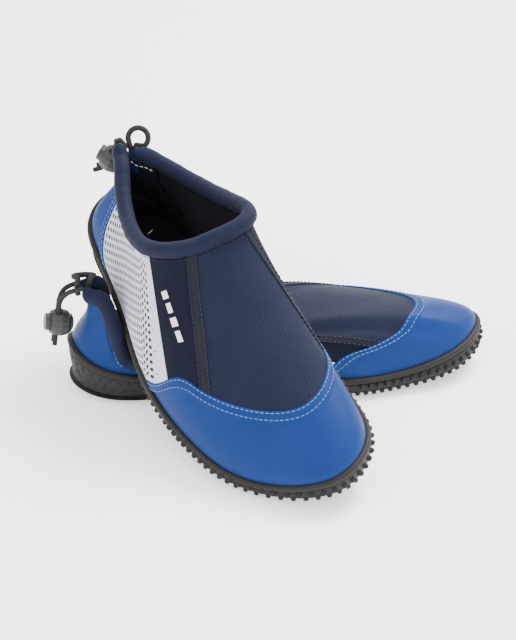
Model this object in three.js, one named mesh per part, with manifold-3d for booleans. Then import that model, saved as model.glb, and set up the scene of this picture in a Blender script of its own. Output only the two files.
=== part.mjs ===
// A pair of slip-on neoprene water shoes. The left shoe stands flat and the heel of the right shoe is
// propped on the left shoe's collar. Each shoe has a studded rubber cup sole, a sock board and an insole,
// an upper sewn from neoprene and mesh panels, a padded collar with a drawcord in it, a pull loop and a
// sprung cord lock. Millimetres, +Z up, +X towards the left shoe's toe, origin under the left heel pad.
// A shoe is modelled as a right shoe: heel back at x = 0, toe along +X, outer side at -Y.
import * as THREE from 'three';
import { mergeVertices } from 'three/addons/utils/BufferGeometryUtils.js';
import Module from 'manifold-3d';

const wasm = await Module();
wasm.setup();

// ---- Driving dimensions ----
const soleLength = 256;
const soleWidth = 100;
const throatHeight = 86;
const toeSpring = 11;
const heelSpring = 3;
const seamGap = 0.34;
const fitGap = 0.34;

const studHeight = 2.6;
const treadThickness = 2.6;
const wallThickness = 2.8;
const studWidth = 3.6;
const studPitch = 15;
const heelPadX = 45;
const heelPadRadius = 9;
const barPitch = 17;
const barDepth = 7;

const boardThickness = 1.7;
const insoleThickness = 3.4;

const panelThickness = 2.6;
const tapeThickness = 3.2;
const tapeRise = 0.7;

const collarRadius = 4.8;
const collarSteps = 46;
const rollPoints = 24;
const channelRadius = 3.2;
const collarEndSpacing = 10.3;
const collarTipReach = 10;
const collarTipRise = 1.2;

const cordDiameter = 3;
const cordSpacing = 3.4;
const cordClearance = 0.34;
const cordTail = 12;
const loopCordDiameter = 3.4;
const loopRadius = 6;
const loopLegs = 2.2;
const loopLegLength = 3.4;
const loopLean = { left: new THREE.Vector3(-0.85, 0, 0.53), right: new THREE.Vector3(-0.72, 0, 0.69) };

const lockRadius = 8.5;
const lockFaceHeight = 6.2;
const lockBoreRadius = 5.6;
const lockBoreFloor = -6.6;
const plungerClearance = 0.34;
const plungerTravel = 2.2;
const plungerFoot = -1.6;
const plungerTop = 9.4;
const cordHeightInLock = 2;
const springRadius = 3.4;
const springWire = 0.7;
const springTurns = 3;

// ---- Stations round a shoe: heel back, outer side, toe tip (ninth), inner side ----
// Sole outline as shares of soleLength and soleWidth
const outlineStations = [
  [0, 0], [0.034, -0.225], [0.142, -0.305], [0.296, -0.384],
  [0.439, -0.481], [0.582, -0.518], [0.72, -0.492], [0.874, -0.356],
  [1, 0.015], [0.926, 0.377], [0.774, 0.466], [0.629, 0.48],
  [0.476, 0.343], [0.32, 0.298], [0.156, 0.325], [0.038, 0.212],
];
// Height of the rubber wall's top edge
const wallStations = [
  [29.5], [24.5], [18.2], [13.9], [12.4], [10.8], [11.1], [11],
  [15.2], [16.5], [13.2], [12.6], [12.4], [15.4], [19.2], [24.5],
];
// How the upper leaves the rubber: outward flare and rise of its first handle
const flareStations = [
  [-5.9, 15.5], [-2.9, 15], [0, 15.5], [0.7, 15.8],
  [1, 16.5], [1, 18.5], [-0.1, 19.5], [-1.2, 19.1],
  [-2.4, 15.2], [-1.9, 18.9], [-2.3, 15.6], [-0.7, 15.2],
  [0.3, 12.7], [0.7, 12.9], [0.6, 13.6], [-2, 14.1],
];
// Second handle of the upper, as shares of soleLength, soleWidth and throatHeight
const shoulderStations = [
  [0.055, 0.153, 0.626], [0.07, 0.109, 0.638], [0.12, -0.009, 0.588], [0.19, -0.118, 0.57],
  [0.265, -0.178, 0.598], [0.342, -0.201, 0.643], [0.417, -0.158, 0.661], [0.508, -0.058, 0.635],
  [0.589, 0.135, 0.588], [0.526, 0.337, 0.649], [0.44, 0.412, 0.669], [0.362, 0.41, 0.654],
  [0.276, 0.379, 0.593], [0.189, 0.333, 0.559], [0.107, 0.247, 0.576], [0.088, 0.159, 0.617],
];
// Middle of the collar roll, in the same shares
const rimStations = [
  [0.037, 0.088, 0.823], [0.063, 0.032, 0.808], [0.124, -0.054, 0.75], [0.193, -0.125, 0.729],
  [0.259, -0.168, 0.763], [0.32, -0.174, 0.825], [0.374, -0.114, 0.893], [0.413, 0.014, 0.945],
  [0.432, 0.179, 0.99], [0.432, 0.333, 0.998], [0.404, 0.41, 0.973], [0.347, 0.408, 0.905],
  [0.274, 0.38, 0.812], [0.194, 0.331, 0.753], [0.121, 0.26, 0.755], [0.062, 0.177, 0.791],
];

// ---- Seams, in turns round the shoe at the rubber edge, at the toe cap's edge and at the collar ----
const counterSeam = { low: 0.138, edge: 0.13, high: 0.098 };
const capEnd = 0.276;
const capEndHeight = 0.06;
const meshSeam = { edge: 0.333, high: 0.325 };
const tapeOuter = { edge: 0.397, high: 0.425 };
const tapeInner = { edge: 0.412, high: 0.446 };
const capHeight = 0.405;

// ---- How the right shoe leans: its place and turn in the left shoe's frame ----
const rightPlace = new THREE.Vector3(42.1, 67.3, 74.2);
const rightYaw = THREE.MathUtils.degToRad(-69.6);
const rightPitch = THREE.MathUtils.degToRad(17.6);
const rightRoll = THREE.MathUtils.degToRad(16.3);
const contactGap = 0.6;
const foldGap = 3;
const foldRise = 5;
const outerPress = [5.5, 13];
const innerPress = [14, 26];

const rubberColour = 0x3a3733;
const navyColour = 0x262c48;
const royalColour = 0x2d5096;
const meshColour = 0xdfe0ea;
const tapeColour = 0x2b2f45;
const blackColour = 0x141416;
const steelColour = 0x9a9ca0;

// ---- Closed curves through stations ----
function closedSpline(stations) {
  const count = stations.length;
  let rows = stations.map((station) => [...station]);
  for (let pass = 0; pass < 60; pass += 1) {
    rows = rows.map((row, i) => row.map((value, k) => {
      const around = rows[(i + count - 1) % count][k] + rows[(i + 1) % count][k];
      return 0.2 * (6 * stations[i][k] - around) + 0.2 * value;
    }));
  }
  return (turn) => {
    const place = (turn - Math.floor(turn)) * count;
    const i = Math.floor(place) % count;
    const f = place - Math.floor(place);
    const weights = [(1 - f) ** 3, 3 * f ** 3 - 6 * f * f + 4, -3 * f ** 3 + 3 * f * f + 3 * f + 1, f ** 3];
    return rows[0].map((_, k) => weights.reduce(
      (sum, weight, j) => sum + weight * rows[(i + count - 1 + j) % count][k] / 6, 0));
  };
}

const scaled = (stations, ...sizes) => closedSpline(stations.map((s) => s.map((v, k) => v * sizes[k])));
const outline = scaled(outlineStations, soleLength, soleWidth);
const wallTop = scaled(wallStations, 1);
const flare = scaled(flareStations, 1, 1);
const shoulder = scaled(shoulderStations, soleLength, soleWidth, throatHeight);
const rim = scaled(rimStations, soleLength, soleWidth, throatHeight);

// Lift of the sole off the floor at the toe and at the very heel
function springAt(x) {
  const toe = Math.max(0, (x / soleLength - 0.703) / 0.297);
  const heel = Math.max(0, 1 - x / 25);
  return toeSpring * toe * toe + heelSpring * heel * heel;
}

function outwardAt(turn) {
  const [x0, y0] = outline(turn - 0.001);
  const [x1, y1] = outline(turn + 0.001);
  return new THREE.Vector2(y1 - y0, x0 - x1).normalize();
}

// Point of the sole at a turn, inset from the outline, at a height above the tread's underside
function solePoint(turn, inset, height) {
  const [x, y] = outline(turn);
  const out = outwardAt(turn);
  return new THREE.Vector3(x - out.x * inset, y - out.y * inset, height + springAt(x));
}

const floorHeight = studHeight + treadThickness;
const upperInset = wallThickness + fitGap;
const marginFoot = floorHeight + fitGap;

// ---- The upper's outer surface: v is -1 at the hidden lower edge, 0 at the rubber, 1 at the collar ----
function upperPoint(turn, v, shape) {
  const feather = solePoint(turn, upperInset, wallTop(turn)[0]);
  if (v < 0) {
    feather.z += v * (wallTop(turn)[0] - marginFoot);
    return feather;
  }
  const out = outwardAt(turn);
  const [spread, rise] = flare(turn);
  const second = new THREE.Vector3(...shape.shoulder(turn));
  const top = new THREE.Vector3(...shape.rim(turn));
  const firstZ = Math.min(feather.z + rise, THREE.MathUtils.lerp(feather.z, second.z, 0.66));
  const first = new THREE.Vector3(feather.x + out.x * spread, feather.y + out.y * spread, firstZ);
  return new THREE.CubicBezierCurve3(feather, first, second, top).getPoint(v);
}

function upperNormal(turn, v, shape) {
  const step = 0.004;
  const along = upperPoint(turn + step, v, shape).sub(upperPoint(turn - step, v, shape));
  const up = upperPoint(turn, Math.min(1, v + step), shape).sub(upperPoint(turn, Math.max(-1, v - step), shape));
  return along.cross(up).normalize();
}

// Where the panels stop, just under the collar roll; a folded rim looks to both sides as well
function panelTop(turn, shape) {
  return Math.min(...shape.lookAside.map((step) => clearTop(turn + step, shape)));
}

function clearTop(turn, shape) {
  const nearest = (point) => Math.min(...shape.roll.map((place) => place.distanceTo(point)));
  const reach = collarRadius + shape.rollGap;
  let v = 0.98;
  for (;;) {
    const point = upperPoint(turn, v, shape);
    const inner = point.clone().addScaledVector(upperNormal(turn, v, shape), -panelThickness);
    if (Math.min(nearest(point), nearest(inner)) > reach || v < capEndHeight + 0.03) {
      return v;
    }
    v -= 0.01;
  }
}

// ---- The pattern: columns round the shoe, rows from the hidden edge to the collar ----
function mirrorSeam(seam) {
  return { low: 1 - seam.low, edge: 1 - seam.edge, high: 1 - seam.high };
}

function spreadColumns(from, to, count) {
  return Array.from({ length: count }, (_, i) => {
    const f = i / count;
    return {
      low: THREE.MathUtils.lerp(from.low, to.low, f),
      edge: THREE.MathUtils.lerp(from.edge, to.edge, f),
      high: THREE.MathUtils.lerp(from.high, to.high, f),
    };
  });
}

const heelBack = { low: 0, edge: 0, high: 0 };
const capCorner = { low: capEnd, edge: capEnd, high: 0.29 };
const meshFront = { low: 0.312, ...meshSeam };
const tapeRear = { low: 0.38, ...tapeOuter };
const tapeFront = { low: 0.4, ...tapeInner };
const toeTip = { low: 0.5, edge: 0.5, high: 0.5 };
const fullTurn = { low: 1, edge: 1, high: 1 };
const outerSeams = [heelBack, counterSeam, capCorner, meshFront, tapeRear, tapeFront, toeTip];
const innerSeams = outerSeams.slice(0, -1).reverse().map(mirrorSeam);
innerSeams[innerSeams.length - 1] = fullTurn;
const seams = [...outerSeams, ...innerSeams];
const columnCounts = [4, 4, 2, 2, 1, 3, 3, 1, 2, 2, 4, 4];
const columns = [];
const seamColumn = [];
columnCounts.forEach((count, i) => {
  seamColumn.push(columns.length);
  columns.push(...spreadColumns(seams[i], seams[i + 1], count));
});
columns.push(fullTurn);
seamColumn.push(columns.length - 1);

// The sole's rings turn at the same places as the panels' lower edges, so that both follow one polygon
const ringTurns = columns.slice(0, -1).map((column) => column.low);
const ringSteps = ringTurns.length;

// Height of the toe cap's sewn edge, rising from its two ends
function capEdge(turn) {
  const side = Math.min(turn, 1 - turn);
  const f = THREE.MathUtils.clamp((side - capEnd) / (0.385 - capEnd), 0, 1);
  return capEndHeight + (capHeight - capEndHeight) * Math.sin(f * Math.PI / 2);
}

const capRows = 3;
const sideRows = 6;
const rowCount = 1 + capRows + sideRows + 1;

function patternPoint(column, row, shape) {
  const edgeRow = 1 + capRows;
  if (row === 0) {
    return [column.low, -1];
  }
  const edgeV = capEdge(column.edge);
  if (row <= edgeRow) {
    const f = (row - 1) / capRows;
    return [THREE.MathUtils.lerp(column.low, column.edge, f), edgeV * f];
  }
  const f = (row - edgeRow) / sideRows;
  const turn = THREE.MathUtils.lerp(column.edge, column.high, 1 - (1 - f) ** 2);
  return [turn, THREE.MathUtils.lerp(edgeV, panelTop(turn, shape), f)];
}

// ---- Solids ----
function geometryFrom(points, faces) {
  const geometry = new THREE.BufferGeometry();
  geometry.setAttribute('position', new THREE.Float32BufferAttribute(points.flatMap((p) => [p.x, p.y, p.z]), 3));
  geometry.setIndex(faces.flat());
  return geometry;
}

function quad(a, b, c, d) {
  return [[a, b, c], [a, c, d]];
}

// A sheet of points given a thickness and closed round its edges, trimmed back for the seams
function panelSolid(grid, proud, thickness) {
  const rows = grid.length;
  const width = grid[0].length;
  const outer = [];
  const inner = [];
  for (let j = 0; j < rows; j += 1) {
    for (let i = 0; i < width; i += 1) {
      const { point, normal } = grid[j][i];
      const moved = point.clone();
      const trim = (neighbour, alongA, alongB) => {
        const edge = alongB.clone().sub(alongA).normalize();
        const inward = neighbour.clone().sub(point);
        inward.addScaledVector(edge, -inward.dot(edge)).normalize();
        moved.addScaledVector(inward, seamGap / 2);
      };
      const up = grid[Math.min(rows - 1, j + 1)][i].point;
      const down = grid[Math.max(0, j - 1)][i].point;
      const next = grid[j][Math.min(width - 1, i + 1)].point;
      const last = grid[j][Math.max(0, i - 1)].point;
      if (i === 0) {
        trim(next, down, up);
      }
      if (i === width - 1) {
        trim(last, down, up);
      }
      if (j === 0) {
        trim(up, last, next);
      }
      if (j === rows - 1) {
        trim(down, last, next);
      }
      outer.push(moved.clone().addScaledVector(normal, proud));
      inner.push(moved.clone().addScaledVector(normal, proud - thickness));
    }
  }
  const points = [...outer, ...inner];
  const size = outer.length;
  const faces = [];
  const at = (j, i) => j * width + i;
  for (let j = 0; j + 1 < rows; j += 1) {
    for (let i = 0; i + 1 < width; i += 1) {
      const [a, b, c, d] = [at(j, i), at(j, i + 1), at(j + 1, i + 1), at(j + 1, i)];
      faces.push(...quad(a, b, c, d), ...quad(a + size, d + size, c + size, b + size));
    }
    const left = [at(j, 0), at(j + 1, 0)];
    const right = [at(j, width - 1), at(j + 1, width - 1)];
    faces.push(...quad(left[0], left[1], left[1] + size, left[0] + size));
    faces.push(...quad(right[0], right[0] + size, right[1] + size, right[1]));
  }
  for (let i = 0; i + 1 < width; i += 1) {
    const low = [at(0, i), at(0, i + 1)];
    const high = [at(rows - 1, i), at(rows - 1, i + 1)];
    faces.push(...quad(low[0], low[0] + size, low[1] + size, low[1]));
    faces.push(...quad(high[0], high[1], high[1] + size, high[0] + size));
  }
  return geometryFrom(points, faces);
}

function panel(firstColumn, lastColumn, firstRow, lastRow, shape, proud = 0, thickness = panelThickness) {
  const grid = [];
  for (let row = firstRow; row <= lastRow; row += 1) {
    grid.push([]);
    for (let i = firstColumn; i <= lastColumn; i += 1) {
      const column = columns[(i + columns.length - 1) % (columns.length - 1)];
      const [turn, v] = patternPoint(column, row, shape);
      grid.at(-1).push({ point: upperPoint(turn, v, shape), normal: upperNormal(turn, v, shape) });
    }
  }
  return panelSolid(grid, proud, thickness);
}

// Rings of points stacked into a solid, its two ends closed by ribs from side to side
function stackSolid(rings) {
  const points = rings.flat();
  const faces = [];
  for (let r = 0; r + 1 < rings.length; r += 1) {
    for (let i = 0; i < ringSteps; i += 1) {
      const next = (i + 1) % ringSteps;
      faces.push(...quad(r * ringSteps + i, r * ringSteps + next, (r + 1) * ringSteps + next, (r + 1) * ringSteps + i));
    }
  }
  const cap = (start, upwards) => {
    for (let i = 0; i < ringSteps / 2; i += 1) {
      const [a, b] = [start + i, start + i + 1];
      const [d, c] = [start + (ringSteps - i) % ringSteps, start + ringSteps - i - 1];
      const ribs = quad(a, b, c, d).filter((face) => new Set(face).size === 3);
      faces.push(...(upwards ? ribs : ribs.map((face) => [...face].reverse())));
    }
  };
  cap(0, false);
  cap((rings.length - 1) * ringSteps, true);
  return geometryFrom(points, faces);
}

function soleRing(inset, height) {
  return ringTurns.map((turn) => solePoint(turn, inset, typeof height === 'function' ? height(turn) : height));
}

function toManifold(geometry) {
  const bare = geometry.clone();
  bare.deleteAttribute('normal');
  bare.deleteAttribute('uv');
  const merged = mergeVertices(bare, 1e-4);
  const triVerts = new Uint32Array(merged.index.array);
  return new wasm.Manifold(new wasm.Mesh({ numProp: 3, vertProperties: merged.attributes.position.array, triVerts }));
}

function toGeometry(manifold) {
  const mesh = manifold.getMesh();
  const geometry = new THREE.BufferGeometry();
  geometry.setAttribute('position', new THREE.BufferAttribute(mesh.vertProperties, 3));
  geometry.setIndex(new THREE.BufferAttribute(mesh.triVerts, 1));
  return geometry;
}

function join(geometries) {
  return toGeometry(geometries.map(toManifold).reduce((whole, piece) => whole.add(piece)));
}

function cut(body, tools) {
  return toGeometry(tools.map(toManifold).reduce((left, tool) => left.subtract(tool), toManifold(body)));
}

// Turns a geometry made along +Z so that it points along a direction from a place
function aim(geometry, from, direction, side = null) {
  const z = direction.clone().normalize();
  const guess = side ?? (Math.abs(z.x) < 0.9 ? new THREE.Vector3(1, 0, 0) : new THREE.Vector3(0, 1, 0));
  const x = guess.clone().addScaledVector(z, -guess.dot(z)).normalize();
  const matrix = new THREE.Matrix4().makeBasis(x, z.clone().cross(x), z).setPosition(from);
  return geometry.applyMatrix4(matrix);
}

// ---- Sole ----
function outsole() {
  const body = stackSolid([
    soleRing(7, studHeight),
    soleRing(2, studHeight),
    soleRing(0.3, studHeight + 2.2),
    soleRing(0, (turn) => 0.5 * wallTop(turn)[0] + 1.5),
    soleRing(1, (turn) => wallTop(turn)[0] - 0.6),
    soleRing(wallThickness, (turn) => wallTop(turn)[0]),
    soleRing(wallThickness, floorHeight),
  ]);
  const studs = [];
  const girth = 2.35 * soleLength;
  const studCount = Math.round(girth / studPitch);
  for (let i = 0; i < studCount; i += 1) {
    const turn = (i + 0.5) / studCount;
    const out = outwardAt(turn);
    const root = solePoint(turn, 3, studHeight + 2.4);
    const direction = new THREE.Vector3(out.x * 0.85, out.y * 0.85, -0.75).normalize();
    const stud = new THREE.CylinderGeometry(studWidth / 2, studWidth / 2, 5.2, 4, 1);
    stud.rotateX(Math.PI / 2);
    stud.translate(0, 0, 2.6);
    studs.push(aim(stud, root, direction));
  }
  for (let x = heelPadX + barPitch; x < 0.72 * soleLength; x += barPitch) {
    const turn = turnAtX(x);
    const [, low] = outline(turn);
    const [, high] = outline(1 - turn);
    const bar = new THREE.BoxGeometry(barDepth, high - low - 34, studHeight + 1);
    bar.translate(x, (high + low) / 2, (studHeight + 1) / 2);
    studs.push(bar);
  }
  const pad = new THREE.CylinderGeometry(heelPadRadius, heelPadRadius, studHeight + 1, 12, 1);
  pad.rotateX(Math.PI / 2);
  pad.translate(heelPadX, 0, (studHeight + 1) / 2);
  return join([body, pad, ...studs]);
}

// Turn on the outer side whose outline lies at x
function turnAtX(x) {
  let low = 0.02;
  let high = 0.48;
  for (let i = 0; i < 30; i += 1) {
    const middle = (low + high) / 2;
    if (outline(middle)[0] < x) {
      low = middle;
    } else {
      high = middle;
    }
  }
  return (low + high) / 2;
}

const boardInset = upperInset + panelThickness + fitGap + 0.3;
const boardFoot = floorHeight + fitGap;
const insoleFoot = boardFoot + boardThickness + fitGap;

function layer(inset, foot, thickness) {
  return stackSolid([soleRing(inset, foot), soleRing(inset, foot + thickness)]);
}

// ---- Tubes ----
// A tube along a smooth curve, with a hole right through it where holeRadius is given
function tube(points, radius, steps, sides, holeRadius = 0) {
  const shape = new THREE.Shape();
  shape.setFromPoints(roundPoints(radius, sides));
  if (holeRadius > 0) {
    shape.holes.push(new THREE.Path(roundPoints(holeRadius, sides).reverse()));
  }
  const extrudePath = new THREE.CatmullRomCurve3(points, false, 'centripetal');
  return new THREE.ExtrudeGeometry(shape, { steps, extrudePath, curveSegments: 1 });
}

function roundPoints(radius, sides) {
  return Array.from({ length: sides }, (_, i) => {
    const angle = (i + 0.5) / sides * 2 * Math.PI;
    return new THREE.Vector2(radius * Math.cos(angle), radius * Math.sin(angle));
  });
}

// ---- Collar, with its two ends side by side over the heel ----
function collarPath(shape) {
  const first = 0.075;
  const middle = upperPoint(0, 1, shape);
  const tips = [-1, 1].map((side) => new THREE.Vector3(
    middle.x + 4 - collarTipReach, middle.y + side * collarEndSpacing / 2, middle.z + collarTipRise));
  const points = [tips[0]];
  points.push(tips[0].clone().add(new THREE.Vector3(5, 0, -0.6)));
  for (let i = 0; i <= rollPoints; i += 1) {
    points.push(upperPoint(first + (1 - 2 * first) * i / rollPoints, 1, shape));
  }
  points.push(tips[1].clone().add(new THREE.Vector3(5, 0, -0.6)), tips[1]);
  return points;
}

// ---- Cord lock: a ball with a bore, a plunger that clamps both cord strands, and its spring ----
function lockFrame(side, shape) {
  const heelTop = upperPoint(0, 1, shape);
  const right = side === 'right';
  const centre = heelTop.clone().add(right ? new THREE.Vector3(-15, -2.5, -20) : new THREE.Vector3(-14.5, -2.5, -23));
  const cord = (right ? new THREE.Vector3(-0.2, -0.4, -0.9) : new THREE.Vector3(-0.15, 0, -0.99)).normalize();
  const hint = right ? new THREE.Vector3(-0.8, -0.6, 0.2) : new THREE.Vector3(-1, 0, 0.1);
  const axis = hint.addScaledVector(cord, -hint.dot(cord)).normalize();
  return { centre, cord, axis, across: axis.clone().cross(cord) };
}

function lockPoint(frame, along, across, height) {
  return frame.centre.clone().addScaledVector(frame.cord, along)
    .addScaledVector(frame.across, across).addScaledVector(frame.axis, height);
}

function inLock(geometry, frame) {
  return aim(geometry, frame.centre, frame.axis, frame.cord);
}

function turned(profile, segments) {
  const geometry = new THREE.LatheGeometry(profile.map(([r, z]) => new THREE.Vector2(r, z)), segments);
  return geometry.rotateX(Math.PI / 2);
}

const slotHalfWidth = cordSpacing / 2 + cordDiameter / 2 + cordClearance;
const slotFoot = cordHeightInLock - cordDiameter / 2 - cordClearance;
const slotTop = cordHeightInLock + cordDiameter / 2 + cordClearance;

function cordSlot(foot, top) {
  const slot = new THREE.BoxGeometry(4 * lockRadius, 2 * slotHalfWidth, top - foot);
  return slot.translate(0, 0, (top + foot) / 2);
}

function lockBody(frame) {
  const r = lockRadius;
  const profile = [
    [0, -r], [0.5 * r, -0.87 * r], [0.87 * r, -0.5 * r], [r, 0], [0.93 * r, 0.4 * r],
    [0.78 * r, lockFaceHeight], [lockBoreRadius, lockFaceHeight], [lockBoreRadius, lockBoreFloor],
    [0, lockBoreFloor],
  ];
  return inLock(cut(turned(profile, 14), [cordSlot(slotFoot, slotTop)]), frame);
}

function lockButton(frame) {
  const r = lockBoreRadius - plungerClearance;
  const profile = [[0, plungerFoot], [r, plungerFoot], [r, plungerTop - 0.8], [r - 0.8, plungerTop], [0, plungerTop]];
  return inLock(cut(turned(profile, 12), [cordSlot(slotFoot, slotTop + plungerTravel)]), frame);
}

function lockSpring(frame) {
  const foot = lockBoreFloor + fitGap + springWire / 2;
  const top = plungerFoot - fitGap - springWire / 2;
  const points = Array.from({ length: 8 * springTurns + 1 }, (_, i) => {
    const angle = i / 8 * 2 * Math.PI;
    const height = THREE.MathUtils.lerp(foot, top, i / (8 * springTurns));
    return new THREE.Vector3(springRadius * Math.cos(angle), springRadius * Math.sin(angle), height);
  });
  return inLock(tube(points, springWire / 2, 8 * springTurns, 4), frame);
}

// The drawcord leaves both collar ends, turns down and runs straight through the lock to its cut ends
function cordTailPoints(side, shape, frame) {
  const path = collarPath(shape);
  const tip = side < 0 ? path[0] : path.at(-1);
  const across = (frame.across.y * side > 0 ? 1 : -1) * cordSpacing / 2;
  const start = lockPoint(frame, -15, across, cordHeightInLock);
  const end = lockPoint(frame, lockRadius + cordTail, across, cordHeightInLock);
  const near = tip.clone().add(new THREE.Vector3(-0.8, 0, 0));
  const out = tip.clone().add(new THREE.Vector3(-3, 0, -0.3));
  const bend = out.clone().lerp(start, 0.45).add(new THREE.Vector3(-1.8, 0, 1.2));
  const points = [near, out, bend, start];
  for (let i = 1; i <= 4; i += 1) {
    points.push(start.clone().lerp(end, i / 4));
  }
  return points;
}

function drawcord(shape, frame) {
  const inside = collarPath(shape);
  const outer = cordTailPoints(-1, shape, frame).reverse();
  const inner = cordTailPoints(1, shape, frame);
  return tube([...outer, ...inside, ...inner], cordDiameter / 2, 78, 6);
}

// ---- Pull loop: a short cord whose two legs are sewn down on the collar, over the gap between its ends ----
function pullLoop(side, shape) {
  const up = loopLean[side].clone().normalize();
  const across = new THREE.Vector3(0, 1, 0);
  const root = upperPoint(0, 1, shape).add(new THREE.Vector3(1.5, 0, 2 * collarRadius));
  const front = up.clone().cross(across);
  const ends = [-1, 1].flatMap((leg) => roundPoints(loopCordDiameter / 2, 8).map((edge) => root.clone()
    .addScaledVector(across, leg * loopLegs + edge.x).addScaledVector(front, edge.y)));
  const reach = (drop) => Math.min(...ends.flatMap((end) => shape.roll.map(
    (place) => place.distanceTo(new THREE.Vector3(end.x, end.y, end.z - drop)))));
  let drop = 0;
  while (reach(drop) > collarRadius + fitGap && drop < 4 * collarRadius) {
    drop += 0.05;
  }
  root.z -= drop;
  const middle = root.clone().addScaledVector(up, loopRadius + loopLegLength);
  const points = [root.clone().addScaledVector(across, -loopLegs)];
  for (let i = 0; i <= 12; i += 1) {
    const angle = THREE.MathUtils.degToRad(-115 + i * 230 / 12);
    points.push(middle.clone().addScaledVector(across, loopRadius * Math.sin(angle))
      .addScaledVector(up, loopRadius * Math.cos(angle)));
  }
  points.push(root.clone().addScaledVector(across, loopLegs));
  return tube(points, loopCordDiameter / 2, 18, 6);
}

// ---- A whole shoe ----
function addPiece(group, name, geometry, color, mirrored, finish = {}) {
  if (mirrored) {
    geometry.scale(1, -1, 1);
    const plain = geometry.index ? geometry : mergeVertices(bareCopy(geometry), 1e-5);
    const index = plain.index.array;
    for (let i = 0; i < index.length; i += 3) {
      [index[i + 1], index[i + 2]] = [index[i + 2], index[i + 1]];
    }
    geometry = plain;
  }
  const material = new THREE.MeshStandardMaterial({ color, roughness: 0.85, metalness: 0, ...finish });
  const mesh = new THREE.Mesh(geometry, material);
  mesh.name = name;
  group.add(mesh);
}

function bareCopy(geometry) {
  const bare = geometry.clone();
  bare.deleteAttribute('normal');
  bare.deleteAttribute('uv');
  return bare;
}

function makeShoe(side, shape) {
  const group = new THREE.Group();
  const mirrored = side === 'left';
  const frame = lockFrame(side, shape);
  const add = (name, geometry, color, finish) => addPiece(group, `${side}_${name}`, geometry, color, mirrored, finish);
  const seam = (i) => seamColumn[i];
  const edgeRow = 1 + capRows;
  const top = rowCount - 1;
  add('outsole', outsole(), rubberColour);
  add('sock_board', layer(boardInset, boardFoot, boardThickness), blackColour);
  add('insole', layer(boardInset, insoleFoot, insoleThickness), blackColour);
  const last = columns.length - 1;
  add('heel_counter', panel(seam(11) - last, seam(1), 0, top, shape), royalColour);
  add('lateral_mesh', panel(seam(1), seam(2), 0, top, shape), meshColour);
  add('medial_mesh', panel(seam(10), seam(11), 0, top, shape), meshColour);
  add('toe_cap', panel(seam(2), seam(10), 0, edgeRow, shape), royalColour);
  add('lateral_side_panel', panel(seam(2), seam(4), edgeRow, top, shape), navyColour);
  add('medial_side_panel', panel(seam(8), seam(10), edgeRow, top, shape), navyColour);
  add('lateral_seam_tape', panel(seam(4), seam(5), edgeRow, top, shape, tapeRise, tapeThickness), tapeColour);
  add('medial_seam_tape', panel(seam(7), seam(8), edgeRow, top, shape, tapeRise, tapeThickness), tapeColour);
  add('vamp', panel(seam(5), seam(7), edgeRow, top, shape), navyColour);
  add('collar', tube(collarPath(shape), collarRadius, collarSteps, 8, channelRadius), navyColour);
  add('drawcord', drawcord(shape, frame), blackColour);
  add('pull_loop', pullLoop(side, shape), blackColour);
  add('cord_lock_body', lockBody(frame), blackColour, { roughness: 0.4 });
  add('cord_lock_button', lockButton(frame), blackColour, { roughness: 0.4 });
  add('cord_lock_spring', lockSpring(frame), steelColour, { roughness: 0.35, metalness: 0.9 });
  return group;
}

// ---- The pair ----
function shaped(change, rollGap, lookAside) {
  const count = 32;
  const through = (curve) => closedSpline(Array.from({ length: count }, (_, i) => {
    const [x, y, z] = change(...curve(i / count));
    return [x, y, Math.max(z, wallTop(i / count)[0] + collarRadius + foldRise)];
  }));
  const shape = { rim: through(rim), shoulder: through(shoulder), rollGap, lookAside };
  const path = new THREE.CatmullRomCurve3(collarPath(shape), false, 'centripetal');
  const steps = path.getSpacedPoints(collarSteps);
  shape.roll = steps.slice(1).flatMap((place, i) => [0, 0.25, 0.5, 0.75, 1].map((f) => steps[i].clone().lerp(place, f)));
  return shape;
}

const relaxed = shaped((x, y, z) => [x, y, z], 2 * fitGap, [0]);
const rightShoe = makeShoe('right', relaxed);
rightShoe.rotation.set(rightRoll, rightPitch, rightYaw, 'ZYX');
rightShoe.position.copy(rightPlace);
rightShoe.updateMatrixWorld(true);
const rightFoot = new THREE.Box3().setFromObject(rightShoe.getObjectByName('right_outsole'), true).min.z;
rightShoe.position.z -= rightFoot;
rightShoe.updateMatrixWorld(true);

// The left collar is pressed down where the right sole lies on it
const intoRight = rightShoe.matrixWorld.clone().invert();
const soleUp = new THREE.Vector3(0, 0, 1).transformDirection(rightShoe.matrixWorld);
function underRightSole(x, y, z) {
  const local = new THREE.Vector3(x, -y, z).applyMatrix4(intoRight);
  const limit = z - (local.z + contactGap + collarRadius) / soleUp.z;
  const turn = turnAtX(local.x);
  const outerFade = 1 - THREE.MathUtils.smoothstep(outline(turn)[1] - local.y, ...outerPress);
  const innerFade = 1 - THREE.MathUtils.smoothstep(local.y - outline(1 - turn)[1], ...innerPress);
  return [x, y, z - outerFade * innerFade * Math.max(0, z - limit)];
}

const leftShoe = makeShoe('left', shaped(underRightSole, foldGap, [-0.012, 0, 0.012]));
const pair = new THREE.Group();
pair.add(leftShoe, rightShoe);
pair.position.set(-heelPadX, 0, 0);
pair.name = 'water_shoes';
export default pair;
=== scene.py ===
# A pair of slip-on neoprene water shoes. The left shoe stands flat, and the heel of the right shoe is
# propped on the left shoe's collar. Metres, +Z up. Each section makes one kind of piece for both shoes.
import math

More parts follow.
